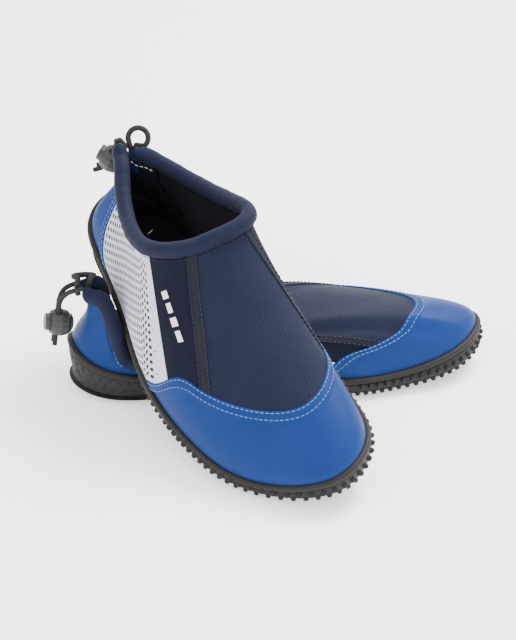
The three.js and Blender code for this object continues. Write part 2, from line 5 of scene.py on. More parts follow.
import bpy
import numpy as np
from mathutils import Matrix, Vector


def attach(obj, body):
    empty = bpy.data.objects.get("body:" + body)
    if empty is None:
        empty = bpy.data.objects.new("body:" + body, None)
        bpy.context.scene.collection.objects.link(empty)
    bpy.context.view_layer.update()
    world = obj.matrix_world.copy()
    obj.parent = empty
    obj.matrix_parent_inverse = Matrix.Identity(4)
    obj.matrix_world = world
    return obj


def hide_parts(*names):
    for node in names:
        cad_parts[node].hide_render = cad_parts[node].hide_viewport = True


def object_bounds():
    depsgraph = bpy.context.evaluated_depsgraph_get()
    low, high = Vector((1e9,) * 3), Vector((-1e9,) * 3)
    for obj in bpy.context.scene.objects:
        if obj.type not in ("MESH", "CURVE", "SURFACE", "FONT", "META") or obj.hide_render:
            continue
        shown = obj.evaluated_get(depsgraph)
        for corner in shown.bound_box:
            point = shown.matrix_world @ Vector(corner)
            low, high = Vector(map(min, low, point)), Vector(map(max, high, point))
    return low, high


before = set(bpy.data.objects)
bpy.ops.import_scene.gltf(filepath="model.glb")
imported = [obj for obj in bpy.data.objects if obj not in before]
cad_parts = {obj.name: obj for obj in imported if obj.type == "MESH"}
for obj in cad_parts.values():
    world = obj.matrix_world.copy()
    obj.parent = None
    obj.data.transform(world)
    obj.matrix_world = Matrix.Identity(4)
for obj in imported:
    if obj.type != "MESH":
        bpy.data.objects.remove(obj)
cad_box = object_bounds()
bpy.ops.object.select_all(action="DESELECT")

# ---- The view, the floor and the light ----
# A long lens from the front left, a pale floor, a soft key light from behind on the right, and a fill.
view_from = np.array([-0.21737, -1.31418, 0.75889])
view_at = np.array([0.07373, 0.00587, 0.030])
view_roll = math.radians(0.697)
lens_mm, sensor_mm = 140.625, 36
floor_size, sky_strength = 12, 1.9
light_target = np.array([0.06, -0.02, 0.05])


def unit(vectors):
    return vectors / np.maximum(np.linalg.norm(vectors, axis=-1, keepdims=True), 1e-12)


def looking(position, target, roll=0.0):
    back = unit(position - target)
    across = unit(np.cross((0, 0, 1), back))
    up = np.cross(back, across)
    turned = Matrix.Identity(4)
    columns = (math.cos(roll) * across + math.sin(roll) * up,
               math.cos(roll) * up - math.sin(roll) * across, back, position)
    for column, values in enumerate(columns):
        for row in range(3):
            turned[row][column] = values[row]
    return turned


camera = bpy.data.objects.new("camera", bpy.data.cameras.new("camera"))
camera.data.lens = lens_mm
camera.data.sensor_width = sensor_mm
camera.matrix_world = looking(view_from, view_at, view_roll)
bpy.context.collection.objects.link(camera)
bpy.context.scene.camera = camera


def area_light(name, position, size, power):
    lamp = bpy.data.objects.new(name, bpy.data.lights.new(name, "AREA"))
    lamp.data.size = size
    lamp.data.energy = power
    lamp.matrix_world = looking(np.array(position), light_target)
    bpy.context.collection.objects.link(lamp)


area_light("key_light", (0.85, 0.45, 1.4), 0.7, 52)
area_light("fill_light", (-1.3, -0.9, 1.3), 1.6, 10)
area_light("front_light", (0.5, -1.6, 1.0), 1.2, 8)
world = bpy.data.worlds.new("studio")
world.use_nodes = True
world.node_tree.nodes["Background"].inputs["Color"].default_value = (1, 1, 1, 1)
world.node_tree.nodes["Background"].inputs["Strength"].default_value = sky_strength
bpy.context.scene.world = world


class Shader:
    """A material that is built up node by node."""

    def __init__(self, name):
        self.material = bpy.data.materials.new(name)
        self.material.use_nodes = True
        self.tree = self.material.node_tree
        self.tree.nodes.clear()

    def node(self, kind, sockets=None, stops=None, **settings):
        node = self.tree.nodes.new(kind)
        for name, setting in settings.items():
            setattr(node, name, setting)
        if stops:
            ramp = node.color_ramp.elements
            while len(ramp) < len(stops):
                ramp.new(0.5)
            for element, (place, colour) in zip(ramp, stops):
                element.position = place
                element.color = (*colour, 1)
        for name, given in (sockets or {}).items():
            if isinstance(given, Value):
                self.tree.links.new(given.socket, node.inputs[name])
            else:
                node.inputs[name].default_value = given
        return node

    def value(self, kind, sockets=None, output=0, **settings):
        return Value(self, self.node(kind, sockets, **settings).outputs[output])

    def mix(self, factor, first, second):
        colours = {6: first if isinstance(first, Value) else (*first, 1),
                   7: second if isinstance(second, Value) else (*second, 1)}
        return self.value("ShaderNodeMix", {0: factor, **colours}, output=2, data_type="RGBA")

    def surface(self, normal=None, **sockets):
        names = {name.replace("_", " ").title().replace("Ior", "IOR"): given
                 for name, given in sockets.items()}
        if normal is not None:
            names["Normal"] = normal
        shader = self.value("ShaderNodeBsdfPrincipled", names)
        self.node("ShaderNodeOutputMaterial", {"Surface": shader})
        return self.material

    def bump(self, height, distance, strength=1.0):
        return self.value("ShaderNodeBump", {"Height": height, "Distance": distance, "Strength": strength})

    def noise(self, vector, scale, detail=2.0):
        return self.value("ShaderNodeTexNoise", {"Vector": vector, "Scale": scale, "Detail": detail})

    def grain(self, scale, detail=2.0):
        return self.noise(self.value("ShaderNodeTexCoord", output=3), scale, detail)


class Value:
    """A number on a socket, with Python's operators for its Math nodes."""

    def __init__(self, shader, socket):
        self.shader, self.socket = shader, socket

    def maths(self, operation, *others, swap=False):
        terms = [self, *others]
        if swap:
            terms.reverse()
        return self.shader.value("ShaderNodeMath", dict(enumerate(terms)), operation=operation)

    def __add__(self, other):
        return self.maths("ADD", other)

    def __sub__(self, other):
        return self.maths("SUBTRACT", other)

    def __rsub__(self, other):
        return self.maths("SUBTRACT", other, swap=True)

    def __mul__(self, other):
        return self.maths("MULTIPLY", other)

    __radd__, __rmul__ = __add__, __mul__

    def wave(self, turns_per_metre):
        return self.maths("MULTIPLY", turns_per_metre * 2 * math.pi).maths("SINE") * 0.5 + 0.5


floor_shader = Shader("floor")
floor_finish = floor_shader.surface(base_color=(0.97, 0.97, 0.97, 1), roughness=0.9,
                                       emission_color=(1, 1, 1, 1), emission_strength=0.8)
bpy.ops.mesh.primitive_plane_add(size=floor_size, location=(0, 0, cad_box[0][2] - 0.0002))
floor = bpy.context.object
floor.name = "floor"
floor.data.materials.append(floor_finish)
bpy.ops.object.select_all(action="DESELECT")

# ---- The last, and the surface that an upper takes from it ----
# A shoe is made as a right shoe: heel back at x = 0, toe along +X, outer side at -Y. A turn goes once
# round it from the heel back by the outer side, and v goes from the rubber's edge, 0, to the collar, 1.
sole_length, sole_width, throat_height = 0.256, 0.100, 0.086
toe_spring, heel_spring = 0.011, 0.003
stud_height, tread_thickness, wall_thickness = 0.0026, 0.0026, 0.0028
fit_gap = 0.00034
panel_thickness = 0.0026
collar_radius = 0.0048
outline_stations = [
    [0, 0], [0.034, -0.225], [0.142, -0.305], [0.296, -0.384],
    [0.439, -0.481], [0.582, -0.518], [0.72, -0.492], [0.874, -0.356],
    [1, 0.015], [0.926, 0.377], [0.774, 0.466], [0.629, 0.48],
    [0.476, 0.343], [0.32, 0.298], [0.156, 0.325], [0.038, 0.212],
]
wall_stations = [
    [29.5], [24.5], [18.2], [13.9], [12.4], [10.8], [11.1], [11],
    [15.2], [16.5], [13.2], [12.6], [12.4], [15.4], [19.2], [24.5],
]
flare_stations = [
    [-5.9, 15.5], [-2.9, 15], [0, 15.5], [0.7, 15.8],
    [1, 16.5], [1, 18.5], [-0.1, 19.5], [-1.2, 19.1],
    [-2.4, 15.2], [-1.9, 18.9], [-2.3, 15.6], [-0.7, 15.2],
    [0.3, 12.7], [0.7, 12.9], [0.6, 13.6], [-2, 14.1],
]
shoulder_stations = [
    [0.055, 0.153, 0.626], [0.07, 0.109, 0.638], [0.12, -0.009, 0.588], [0.19, -0.118, 0.57],
    [0.265, -0.178, 0.598], [0.342, -0.201, 0.643], [0.417, -0.158, 0.661], [0.508, -0.058, 0.635],
    [0.589, 0.135, 0.588], [0.526, 0.337, 0.649], [0.44, 0.412, 0.669], [0.362, 0.41, 0.654],
    [0.276, 0.379, 0.593], [0.189, 0.333, 0.559], [0.107, 0.247, 0.576], [0.088, 0.159, 0.617],
]
rim_stations = [
    [0.037, 0.088, 0.823], [0.063, 0.032, 0.808], [0.124, -0.054, 0.75], [0.193, -0.125, 0.729],
    [0.259, -0.168, 0.763], [0.32, -0.174, 0.825], [0.374, -0.114, 0.893], [0.413, 0.014, 0.945],
    [0.432, 0.179, 0.99], [0.432, 0.333, 0.998], [0.404, 0.41, 0.973], [0.347, 0.408, 0.905],
    [0.274, 0.38, 0.812], [0.194, 0.331, 0.753], [0.121, 0.26, 0.755], [0.062, 0.177, 0.791],
]


def closed_spline(stations, *sizes):
    points = np.array(stations, dtype=float) * sizes
    rows = points.copy()
    for _ in range(60):
        rows = 0.2 * (6 * points - np.roll(rows, 1, 0) - np.roll(rows, -1, 0)) + 0.2 * rows
    count = len(rows)

    def at(turn):
        place = np.mod(turn, 1.0) * count
        i = np.floor(place).astype(int) % count
        f = (place - np.floor(place))[..., None]
        weights = ((1 - f) ** 3, 3 * f ** 3 - 6 * f * f + 4, -3 * f ** 3 + 3 * f * f + 3 * f + 1, f ** 3)
        return sum(weight * rows[(i - 1 + j) % count] for j, weight in enumerate(weights)) / 6
    return at


outline = closed_spline(outline_stations, sole_length, sole_width)
wall_top = closed_spline(wall_stations, 0.001)
flare = closed_spline(flare_stations, 0.001, 0.001)
relaxed_shoulder = closed_spline(shoulder_stations, sole_length, sole_width, throat_height)
relaxed_rim = closed_spline(rim_stations, sole_length, sole_width, throat_height)


def outward_at(turn):
    step = outline(turn + 0.001) - outline(turn - 0.001)
    return unit(np.stack([step[..., 1], -step[..., 0]], -1))


def sole_point(turn, inset, height):
    place = outline(turn) - outward_at(turn) * np.asarray(inset)[..., None]
    x = outline(turn)[..., 0]
    toe = np.maximum(0, (x / sole_length - 0.703) / 0.297)
    heel = np.maximum(0, 1 - x / 0.025)
    lift = toe_spring * toe ** 2 + heel_spring * heel ** 2
    return np.concatenate([place, (height + lift)[..., None]], -1)


def upper_point(turn, v, shape):
    turn, v = np.broadcast_arrays(turn, v)
    feather = sole_point(turn, wall_thickness + fit_gap, wall_top(turn)[..., 0])
    margin = wall_top(turn)[..., 0] - stud_height - tread_thickness - fit_gap
    hidden = feather.copy()
    hidden[..., 2] += v * margin
    second = shape["shoulder"](turn)
    first = feather.copy()
    first[..., :2] += outward_at(turn) * flare(turn)[..., :1]
    first[..., 2] = np.minimum(feather[..., 2] + flare(turn)[..., 1],
                               feather[..., 2] + 0.66 * (second[..., 2] - feather[..., 2]))
    f = np.clip(v, 0, 1)[..., None]
    top = shape["rim"](turn)
    curve = (feather * (1 - f) ** 3 + 3 * first * (1 - f) ** 2 * f
             + 3 * second * (1 - f) * f * f + top * f ** 3)
    return np.where(v[..., None] < 0, hidden, curve)


def upper_normal(turn, v, shape):
    step = 0.004
    along = upper_point(turn + step, v, shape) - upper_point(turn - step, v, shape)
    up = (upper_point(turn, np.minimum(1, v + step), shape)
          - upper_point(turn, np.maximum(-1, v - step), shape))
    return unit(np.cross(along, up))


# How the right shoe leans on the left one, and how its sole presses the left collar down
heel_pad_x = 0.045
right_place = np.array([0.0421, 0.0673, 0.0735614])
lean = (Matrix.Rotation(math.radians(-69.6), 3, "Z") @ Matrix.Rotation(math.radians(17.6), 3, "Y")
        @ Matrix.Rotation(math.radians(16.3), 3, "X"))
right_turn = np.array(lean)
contact_gap, fold_rise = 0.0006, 0.005
outer_press, inner_press = (-0.0005, 0.0045), (0.014, 0.026)


def placed(points, side):
    points = np.asarray(points, dtype=float)
    if side == "left":
        return points * (1, -1, 1) - (heel_pad_x, 0, 0)
    return points @ right_turn.T + right_place - (heel_pad_x, 0, 0)


def smoothstep(value, low, high):
    f = np.clip((value - low) / (high - low), 0, 1)
    return f * f * (3 - 2 * f)


def turn_at_x(x):
    low, high = np.full_like(x, 0.02), np.full_like(x, 0.48)
    for _ in range(30):
        middle = (low + high) / 2
        behind = outline(middle)[..., 0] < x
        low, high = np.where(behind, middle, low), np.where(behind, high, middle)
    return (low + high) / 2


def under_right_sole(points):
    local = (points * (1, -1, 1) - right_place) @ right_turn
    limit = points[:, 2] - (local[:, 2] + contact_gap + collar_radius) / right_turn[2, 2]
    turn = turn_at_x(local[:, 0])
    outer = 1 - smoothstep(outline(turn)[:, 1] - local[:, 1], *outer_press)
    inner = 1 - smoothstep(local[:, 1] - outline(1 - turn)[:, 1], *inner_press)
    pressed = points.copy()
    pressed[:, 2] -= outer * inner * np.maximum(0, points[:, 2] - limit)
    return pressed


def shaped(change):
    turns = np.arange(96) / 96

    def through(curve):
        points = change(curve(turns))
        points[:, 2] = np.maximum(points[:, 2], wall_top(turns)[:, 0] + collar_radius + fold_rise)
        return closed_spline(points, 1, 1, 1)
    return {"rim": through(relaxed_rim), "shoulder": through(relaxed_shoulder)}


# A smooth curve through points, and the same curve in equal steps
def smooth_path(points, per_span=20):
    points = np.asarray(points, dtype=float)
    ends = 2 * points[:1] - points[1:2], 2 * points[-1:] - points[-2:-1]
    p = np.concatenate([ends[0], points, ends[1]])
    out = []
    for i in range(len(points) - 1):
        a, b, c, d = p[i:i + 4]
        t0, t1, t2 = (max(np.sum((q - r) ** 2) ** 0.25, 1e-6) for q, r in ((a, b), (b, c), (c, d)))
        m1 = ((b - a) / t0 - (c - a) / (t0 + t1) + (c - b) / t1) * t1
        m2 = ((c - b) / t1 - (d - b) / (t1 + t2) + (d - c) / t2) * t1
        for f in np.arange(per_span) / per_span:
            out.append(b + m1 * f + (3 * (c - b) - 2 * m1 - m2) * f * f + (2 * (b - c) + m1 + m2) * f ** 3)
    return np.array(out + [points[-1]])


def lengths_along(points):
    return np.concatenate([[0], np.cumsum(np.linalg.norm(np.diff(points, axis=0), axis=1))])


def evenly(points, count):
    along = lengths_along(points)
    wanted = np.linspace(0, along[-1], count)
    return np.stack([np.interp(wanted, along, points[:, k]) for k in range(3)], -1)


# The two ends of the collar, which meet over the heel: the outer one first
collar_ends = {"right": ((0.0062, 0.0072, 0.0752), (0.0112, 0.0138, 0.0706)),
               "left": ((0.0075, 0.0036, 0.0718), (0.0095, 0.0126, 0.0724))}
collar_reach = 0.075


def collar_points(shape, side):
    turns = collar_reach + (1 - 2 * collar_reach) * np.arange(33) / 32
    outer, inner = np.array(collar_ends[side])
    rim = upper_point(turns, np.ones(33), shape)
    eased = np.array([0.35, 0.35, 0.9])
    return np.concatenate([[outer, outer + (rim[0] - outer) * eased], rim,
                           [inner + (rim[-1] - inner) * eased, inner]])


shapes = {"right": shaped(lambda points: points), "left": shaped(under_right_sole)}
sides = ("left", "right")
for side in sides:
    shapes[side]["roll"] = smooth_path(collar_points(shapes[side], side))


# Every new mesh goes through here: made in the shoe's own frame, then placed, and mirrored for the left
def build(name, side, points, faces, uvs, finishes, slots=None, crease=50):
    mesh = bpy.data.meshes.new(name)
    if side == "left":
        faces = [face[::-1] for face in faces]
        uvs = [corners[::-1] for corners in uvs]
    mesh.from_pydata(placed(points, side).tolist(), [], faces)
    layer = mesh.uv_layers.new(name="cloth")
    layer.data.foreach_set("uv", np.concatenate([np.asarray(corners).ravel() for corners in uvs]))
    for finish in finishes:
        mesh.materials.append(finish)
    if slots is not None:
        mesh.polygons.foreach_set("material_index", np.asarray(slots, dtype=np.int32))
    mesh.shade_smooth()
    mesh.set_sharp_from_angle(angle=math.radians(crease))
    piece = bpy.data.objects.new(name, mesh)
    bpy.context.collection.objects.link(piece)
    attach(piece, f"{side}_shoe")
    return piece


def stands_for(piece, slot, *nodes):
    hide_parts(*nodes)


def finish_with(piece, kind, **settings):
    modifier = piece.modifiers.new(kind.lower(), kind)
    for name, setting in settings.items():
        setattr(modifier, name, setting)
    bpy.context.view_layer.objects.active = piece
    bpy.ops.object.modifier_apply(modifier=modifier.name)


def grid_faces(rows, width, wrap=False):
    faces = []
    for j in range(rows - 1):
        for i in range(width if wrap else width - 1):
            after = (i + 1) % width
            faces.append([j * width + i, j * width + after, (j + 1) * width + after, (j + 1) * width + i])
    return faces


def tube(name, side, centres, radii, sides_round, finish, start_side=(0, 1, 0)):
    """A round bar along a path, closed at both ends, its UVs in metres along and round it."""
    centres = np.asarray(centres)
    tangents = unit(np.gradient(centres, axis=0))
    rights = []
    right = np.array(start_side, dtype=float)
    for tangent in tangents:
        right = unit(right - tangent * np.dot(right, tangent))
        rights.append(right)
    rights = np.array(rights)
    ups = np.cross(tangents, rights)
    angles = np.arange(sides_round) / sides_round * 2 * math.pi
    radii = np.broadcast_to(radii, len(centres))
    rings = (centres[:, None] + radii[:, None, None] * (rights[:, None] * np.cos(angles)[None, :, None]
                                                        + ups[:, None] * np.sin(angles)[None, :, None]))
    count = len(centres)
    faces = grid_faces(count, sides_round, wrap=True)
    along = lengths_along(centres)
    girth = 2 * math.pi * float(np.median(radii))
    uvs = []
    for j in range(count - 1):
        for i in range(sides_round):
            low, high = girth * i / sides_round, girth * (i + 1) / sides_round
            uvs.append([[along[j], low], [along[j], high], [along[j + 1], high], [along[j + 1], low]])
    faces.append(list(range(sides_round))[::-1])
    faces.append([(count - 1) * sides_round + i for i in range(sides_round)])
    uvs += [[[0, 0]] * sides_round, [[along[-1], 0]] * sides_round]
    return build(name, side, rings.reshape(-1, 3), faces, uvs, [finish])


# ---- Drawcord ----
# A 3 mm elastic cord with a braided cover. It runs inside the collar, comes out of the collar's two ends
# over the heel, and both strands pass through the cord lock to their cut ends.
cord_diameter, cord_spacing, cord_tail = 0.003, 0.0034, 0.0055
lock_radius, cord_height_in_lock = 0.0085, 0.002
cut_end_lean = {"right": (-0.0032, -0.0022, 0.0028), "left": (0.0, 0.0, 0.0)}


def braid_finish(name, colour, highlight):
    cloth = Shader(name)
    uv = cloth.value("ShaderNodeUVMap", uv_map="cloth")
    split = cloth.node("ShaderNodeSeparateXYZ", {0: uv})
    along, around = Value(cloth, split.outputs[0]), Value(cloth, split.outputs[1])
    strands = (along + around).wave(900) * (along - around).wave(900)
    fuzz = cloth.noise(uv, 1800, 3)
    colour_now = cloth.mix(strands * 0.7 + fuzz * 0.3, colour, highlight)
    return cloth.surface(base_color=colour_now, roughness=0.75, specular_ior_level=0.2,
                         normal=cloth.bump(strands + fuzz * 0.4, 0.0002, 0.8))


cord_black = braid_finish("braided_cord", (0.008, 0.008, 0.009), (0.045, 0.043, 0.042))


def lock_frame(side):
    shape = shapes[side]
    heel = upper_point(np.array(0.0), np.array(1.0), shape)
    right = side == "right"
    centre = heel + ((-0.015, -0.0025, -0.020) if right else (-0.0145, -0.0025, -0.023))
    cord = unit(np.array((-0.2, -0.4, -0.9) if right else (-0.15, 0, -0.99)))
    hint = np.array((-0.8, -0.6, 0.2) if right else (-1, 0, 0.1))
    axis = unit(hint - cord * np.dot(hint, cord))
    return {"centre": centre, "cord": cord, "axis": axis, "across": np.cross(axis, cord)}


def in_lock(frame_of_lock, along, across, height):
    return (frame_of_lock["centre"] + frame_of_lock["cord"] * along
            + frame_of_lock["across"] * across + frame_of_lock["axis"] * height)


def cord_tail_points(side, end):
    lock = lock_frame(side)
    path = collar_points(shapes[side], side)
    tip = path[0] if end < 0 else path[-1]
    across = (1 if lock["across"][1] * end > 0 else -1) * cord_spacing / 2
    start = in_lock(lock, -0.015, across, cord_height_in_lock)
    last = in_lock(lock, lock_radius + cord_tail, across, cord_height_in_lock)
    out = tip + (-0.003, 0, -0.0006)
    arch = (-0.0018, 0, 0.0012) if side == "left" else (-0.0004, 0, -0.0026)
    bend = out + (start - out) * 0.45 + arch
    straight = [start + (last - start) * i / 4 for i in range(1, 5)]
    splay = np.array(cut_end_lean[side]) + lock["across"] * (0.0012 if across > 0 else -0.0012)
    straight[-1] = straight[-1] + splay
    return [tip + (-0.0008, 0, 0), out, bend, start, *straight]


for side in sides:
    for end, which in ((-1, "outer"), (1, "inner")):
        route = evenly(smooth_path(cord_tail_points(side, end)), 40)
        strand = tube(f"{side}_drawcord_{which}_strand", side, route, cord_diameter / 2, 16, cord_black)
        stands_for(strand, "elastic_cord", f"{side}_drawcord")
        route_placed = placed(route, side)
        lengths_along(route)[-1]

# ---- Pull loop ----
# A ring of the same kind of cord, a little thicker. Its two legs go down between the collar's ends, where
# they are sewn to the heel seam. The right one stands up, and the left one has flopped over.
loop_cord_diameter, loop_radius = 0.0034, 0.006
loop_middle = {"right": (0.0078, 0.0196, 0.0736), "left": (0.0100, 0.0062, 0.0772)}
loop_across = {"right": (0.48, 0.87, -0.11), "left": (1, 0.1, 0)}
loop_up = {"right": (-0.61, 0.42, 0.67), "left": (0.12, -0.93, -0.32)}
loop_legs = {"right": ((0.0088, 0.0126, 0.0640), (0.0092, 0.0132, 0.0682), (0.0052, 0.0185, 0.0655)),
             "left": ((0.0060, 0.0085, 0.0665), (0.0052, 0.0092, 0.0715), (0.0118, 0.0085, 0.0700))}
loop_arc = {"right": (-112, 138), "left": (-140, 132)}


def loop_points(side):
    across, up = unit(np.array(loop_across[side], dtype=float)), np.array(loop_up[side])
    up = unit(up - across * np.dot(up, across))
    angles = np.radians(np.linspace(*loop_arc[side], 13))
    ring = (np.array(loop_middle[side]) + np.outer(np.sin(angles), across) * loop_radius
            + np.outer(np.cos(angles), up) * loop_radius)
    sunk, low, last = np.array(loop_legs[side])
    return np.concatenate([[sunk, low], ring, [last]])


for side in sides:
    route = evenly(smooth_path(loop_points(side)), 60)
    loop = tube(f"{side}_pull_loop_cord", side, route, loop_cord_diameter / 2, 20, cord_black)
    stands_for(loop, "elastic_cord", f"{side}_pull_loop")
    route_placed = placed(route, side)
    lengths_along(route)[-1]

# ---- Outsole ----
# One moulding of black-brown rubber: a cup with a rolled side wall that rises round the heel, a row of
# round studs along its lower edge, a second row above it at the toe, and round studs all over below.
rubber = Shader("moulded_rubber")
rubber_grain, rubber_dust = rubber.grain(1400, 4), rubber.grain(60, 3)
rubber_finish = rubber.surface(
    base_color=rubber.mix(rubber_dust * 0.6 + rubber_grain * 0.4,
                          (0.007, 0.0065, 0.006), (0.024, 0.022, 0.020)),
    roughness=0.52 + 0.2 * rubber_dust, specular_ior_level=0.2,
    normal=rubber.bump(rubber_grain, 0.0002, 0.5))
round_count = 720
floor_height = stud_height + tread_thickness


def ring_closed(rings, name, side, finish):
    """Rings of points stacked into a closed body, its two ends closed by ribs from side to side."""
    count = len(rings[0])
    points = np.concatenate(rings)
    faces = grid_faces(len(rings), count, wrap=True)
    for start, upwards in ((0, False), ((len(rings) - 1) * count, True)):
        for i in range(count // 2):
            rib = [start + i, start + i + 1, start + (count - i - 1) % count, start + (count - i) % count]
            rib = list(dict.fromkeys(rib))
            faces.append(rib if upwards else rib[::-1])
    uvs = [points[face][:, :2].tolist() for face in faces]
    return build(name, side, points, faces, uvs, [finish], crease=40)


# Dimples stand in two staggered rows round the heel, between upright grooves, and a parting line of the
# mould crosses the toe.
dimple_pitch, dimple_depth, dimple_radius = 0.0062, 0.0008, 0.0013
heel_grooves = (0.035, 0.085, 0.14, 0.86, 0.915, 0.965)
parting_turn = 0.455
groove_depth, groove_radius = 0.0008, 0.0007
parting_depth, parting_radius = 0.0009, 0.0006
heel_tuck = 0.0042
measured_turns = np.arange(2001) / 2000
around_sole = lengths_along(np.append(sole_point(measured_turns, np.zeros(2001), np.zeros(2001))[:, :2],
                                      np.zeros((2001, 1)), axis=1))


def wall_cut(turns, height, top):
    """How deep the side wall is cut in at a height above the floor."""
    side_turns = np.minimum(turns, 1 - turns)
    along = np.interp(turns, measured_turns, around_sole)
    at_heel = 1 - smoothstep(side_turns, 0.17, 0.20)
    cut = np.zeros_like(turns)
    for row, share in enumerate((0.36, 0.66)):
        level = stud_height + (top - stud_height) * share
        nearest = (np.round(along / dimple_pitch - 0.5 * row) + 0.5 * row) * dimple_pitch
        distance = np.hypot(along - nearest, height - level)
        cut += at_heel * dimple_depth * np.exp(-(distance / dimple_radius) ** 4)
    for turn in heel_grooves:
        distance = np.abs(along - np.interp(turn, measured_turns, around_sole))
        low_wall = 1 - smoothstep(height, stud_height + (top - stud_height) * 0.45,
                                  stud_height + (top - stud_height) * 0.6)
        cut += groove_depth * low_wall * np.exp(-(distance / groove_radius) ** 2)
    share = np.clip((height - stud_height) / (top - stud_height), 0, 1)
    cut += heel_tuck * (1 - smoothstep(side_turns, 0.09, 0.20)) * (1 - share) ** 2.2
    distance = np.abs(along - np.interp(parting_turn, measured_turns, around_sole))
    return cut + parting_depth * np.exp(-(distance / parting_radius) ** 2)


def outsole_rings():
    turns = np.arange(round_count) / round_count
    top = wall_top(turns)[:, 0]
    bead = 0.0021
    rings = [sole_point(turns, np.full(round_count, 0.0022), np.full(round_count, stud_height)),
             sole_point(turns, np.full(round_count, 0.0009), np.full(round_count, stud_height + 0.0006))]
    low = stud_height + 0.0014
    waist = top - 2 * bead
    for f in np.linspace(0, 0.94, 13):
        height = low + (waist - low) * f
        rings.append(sole_point(turns, 0.0006 + wall_cut(turns, height, top), height))
    rings.append(sole_point(turns, 0.0011 + wall_cut(turns, waist, top), waist))
    for angle in np.radians(np.arange(-60, 121, 20)):
        height = top - bead + bead * math.sin(angle)
        inset = bead - bead * math.cos(angle) + 0.5 * wall_cut(turns, height, top)
        rings.append(sole_point(turns, inset, height))
    rings.append(sole_point(turns, np.full(round_count, wall_thickness), top - 0.0006))
    rings.append(sole_point(turns, np.full(round_count, wall_thickness), np.full(round_count, floor_height)))
    return rings


stud_count, stud_radius, stud_sides = 112, 0.00155, 10
tread_pitch, tread_radius, tread_margin = 0.0086, 0.0024, 0.0085
edge_stud_rows = ((0.0046, 0.0030, 0.75, 0.0040), (0.0082, 0.0016, 0.30, 0.0034))


def stud_mesh(root, direction, radius, length):
    across = unit(np.cross(direction, (0, 0, 1)))
    up = np.cross(direction, across)
    angles = np.arange(stud_sides) / stud_sides * 2 * math.pi
    circle = np.outer(np.cos(angles), across) + np.outer(np.sin(angles), up)
    steps = ((0, 1.15), (0.72, 1), (0.93, 0.85), (1, 0.5))
    rings = [root + direction * length * along + circle * radius * share for along, share in steps]
    faces = [face[::-1] for face in grid_faces(len(rings), stud_sides, wrap=True)]
    faces.append(list(range(stud_sides)))
    faces.append([(len(rings) - 1) * stud_sides + i for i in range(stud_sides)][::-1])
    return np.concatenate(rings), faces


def edge_studs():
    """The lower row runs round from the waist, and a second row stands above it at the toe."""
    for row, (height, inset, slant, length) in enumerate(edge_stud_rows):
        for i in range(stud_count):
            turn = (i + 0.5 + 0.5 * row) / stud_count
            side_turn = min(turn, 1 - turn)
            if side_turn < (0.33 if row else 0.20):
                continue
            grown = 0.55 + 0.45 * float(smoothstep(side_turn, 0.20, 0.28))
            out = outward_at(np.array(turn))
            direction = unit(np.array([out[0] * 0.85, out[1] * 0.85, -slant]))
            root = sole_point(np.array(turn), np.array(inset), np.array(height))
            yield stud_mesh(root, direction, stud_radius * grown, length * grown)


def sole_studs():
    """Studs over the whole underside, in staggered rows."""
    for row in range(28):
        for column in range(-7, 8):
            x = 0.012 + row * tread_pitch
            y = (column + 0.5 * (row % 2)) * tread_pitch + 0.002
            turn = turn_at_x(np.array([x]))[0]
            low, high = outline(np.array(turn))[1], outline(np.array(1 - turn))[1]
            if low + tread_margin < y < high - tread_margin:
                lift = sole_point(np.array(turn), np.array(0.0), np.array(0.0))[2]
                yield stud_mesh(np.array([x, y, stud_height + 0.0008 + lift]), np.array([0.001, 0, -1.0]),
                                tread_radius, stud_height + 0.0006)


def joined(shapes_given):
    points, faces, total = [], [], 0
    for more, its_faces in shapes_given:
        points.append(more)
        faces += [[index + total for index in face] for face in its_faces]
        total += len(more)
    return np.concatenate(points), faces


for side in sides:
    sole = ring_closed(outsole_rings(), f"{side}_rubber_cup", side, rubber_finish)
    stands_for(sole, "outsole_rubber", f"{side}_outsole")
    for name, given in (("edge_studs", edge_studs()), ("sole_studs", sole_studs())):
        points, faces = joined(given)
        uvs = [points[face][:, :2].tolist() for face in faces]
        studs = build(f"{side}_rubber_{name}", side, points, faces, uvs, [rubber_finish], crease=60)
        stands_for(studs, "outsole_rubber", f"{side}_outsole")

# ---- Sock board and insole ----
# The board that closes the upper keeps its plain shape under the insole, which is a black foam sheet
# with a knitted top, printed with its size in a ring.
board_inset = wall_thickness + fit_gap + panel_thickness + fit_gap + 0.0003
insole_foot = floor_height + fit_gap + 0.0017 + fit_gap
insole_top = insole_foot + 0.0034
insole_profile = ((0.0006, 0), (0, 0.0005), (0, 0.0028), (0.0005, 0.0034), (0.003, 0.0036),
                  (0.012, 0.0034), (0.022, 0.0032))


def knit_finish(name, colour, thread, pitch, angle=0.0, relief=0.00012, roughness=0.8, sheen=0.02,
                contrast=0.5):
    """Cloth whose fine ribs follow the piece's own UVs, at a pitch and angle."""
    cloth = Shader(name)
    uv = cloth.value("ShaderNodeUVMap", uv_map="cloth")
    turned = cloth.value("ShaderNodeMapping", {"Vector": uv, "Rotation": (0, 0, math.radians(angle))})
    split = cloth.node("ShaderNodeSeparateXYZ", {0: turned})
    along, across = Value(cloth, split.outputs[0]), Value(cloth, split.outputs[1])
    ribs = across.wave(1 / pitch)
    loops = along.wave(1.6 / pitch)
    weave = ribs * 0.7 + loops * ribs * 0.3
    blotch = cloth.noise(uv, 45, 3)
    fuzz = cloth.noise(uv, 2200, 2)
    tone = (weave * 0.65 + fuzz * 0.35) * contrast + blotch * 0.35
    return cloth.surface(base_color=cloth.mix(tone, colour, thread), roughness=roughness,
                         specular_ior_level=0.09, sheen_weight=sheen, sheen_roughness=0.45,
                         normal=cloth.bump(weave + fuzz * 0.3, relief, 0.7))


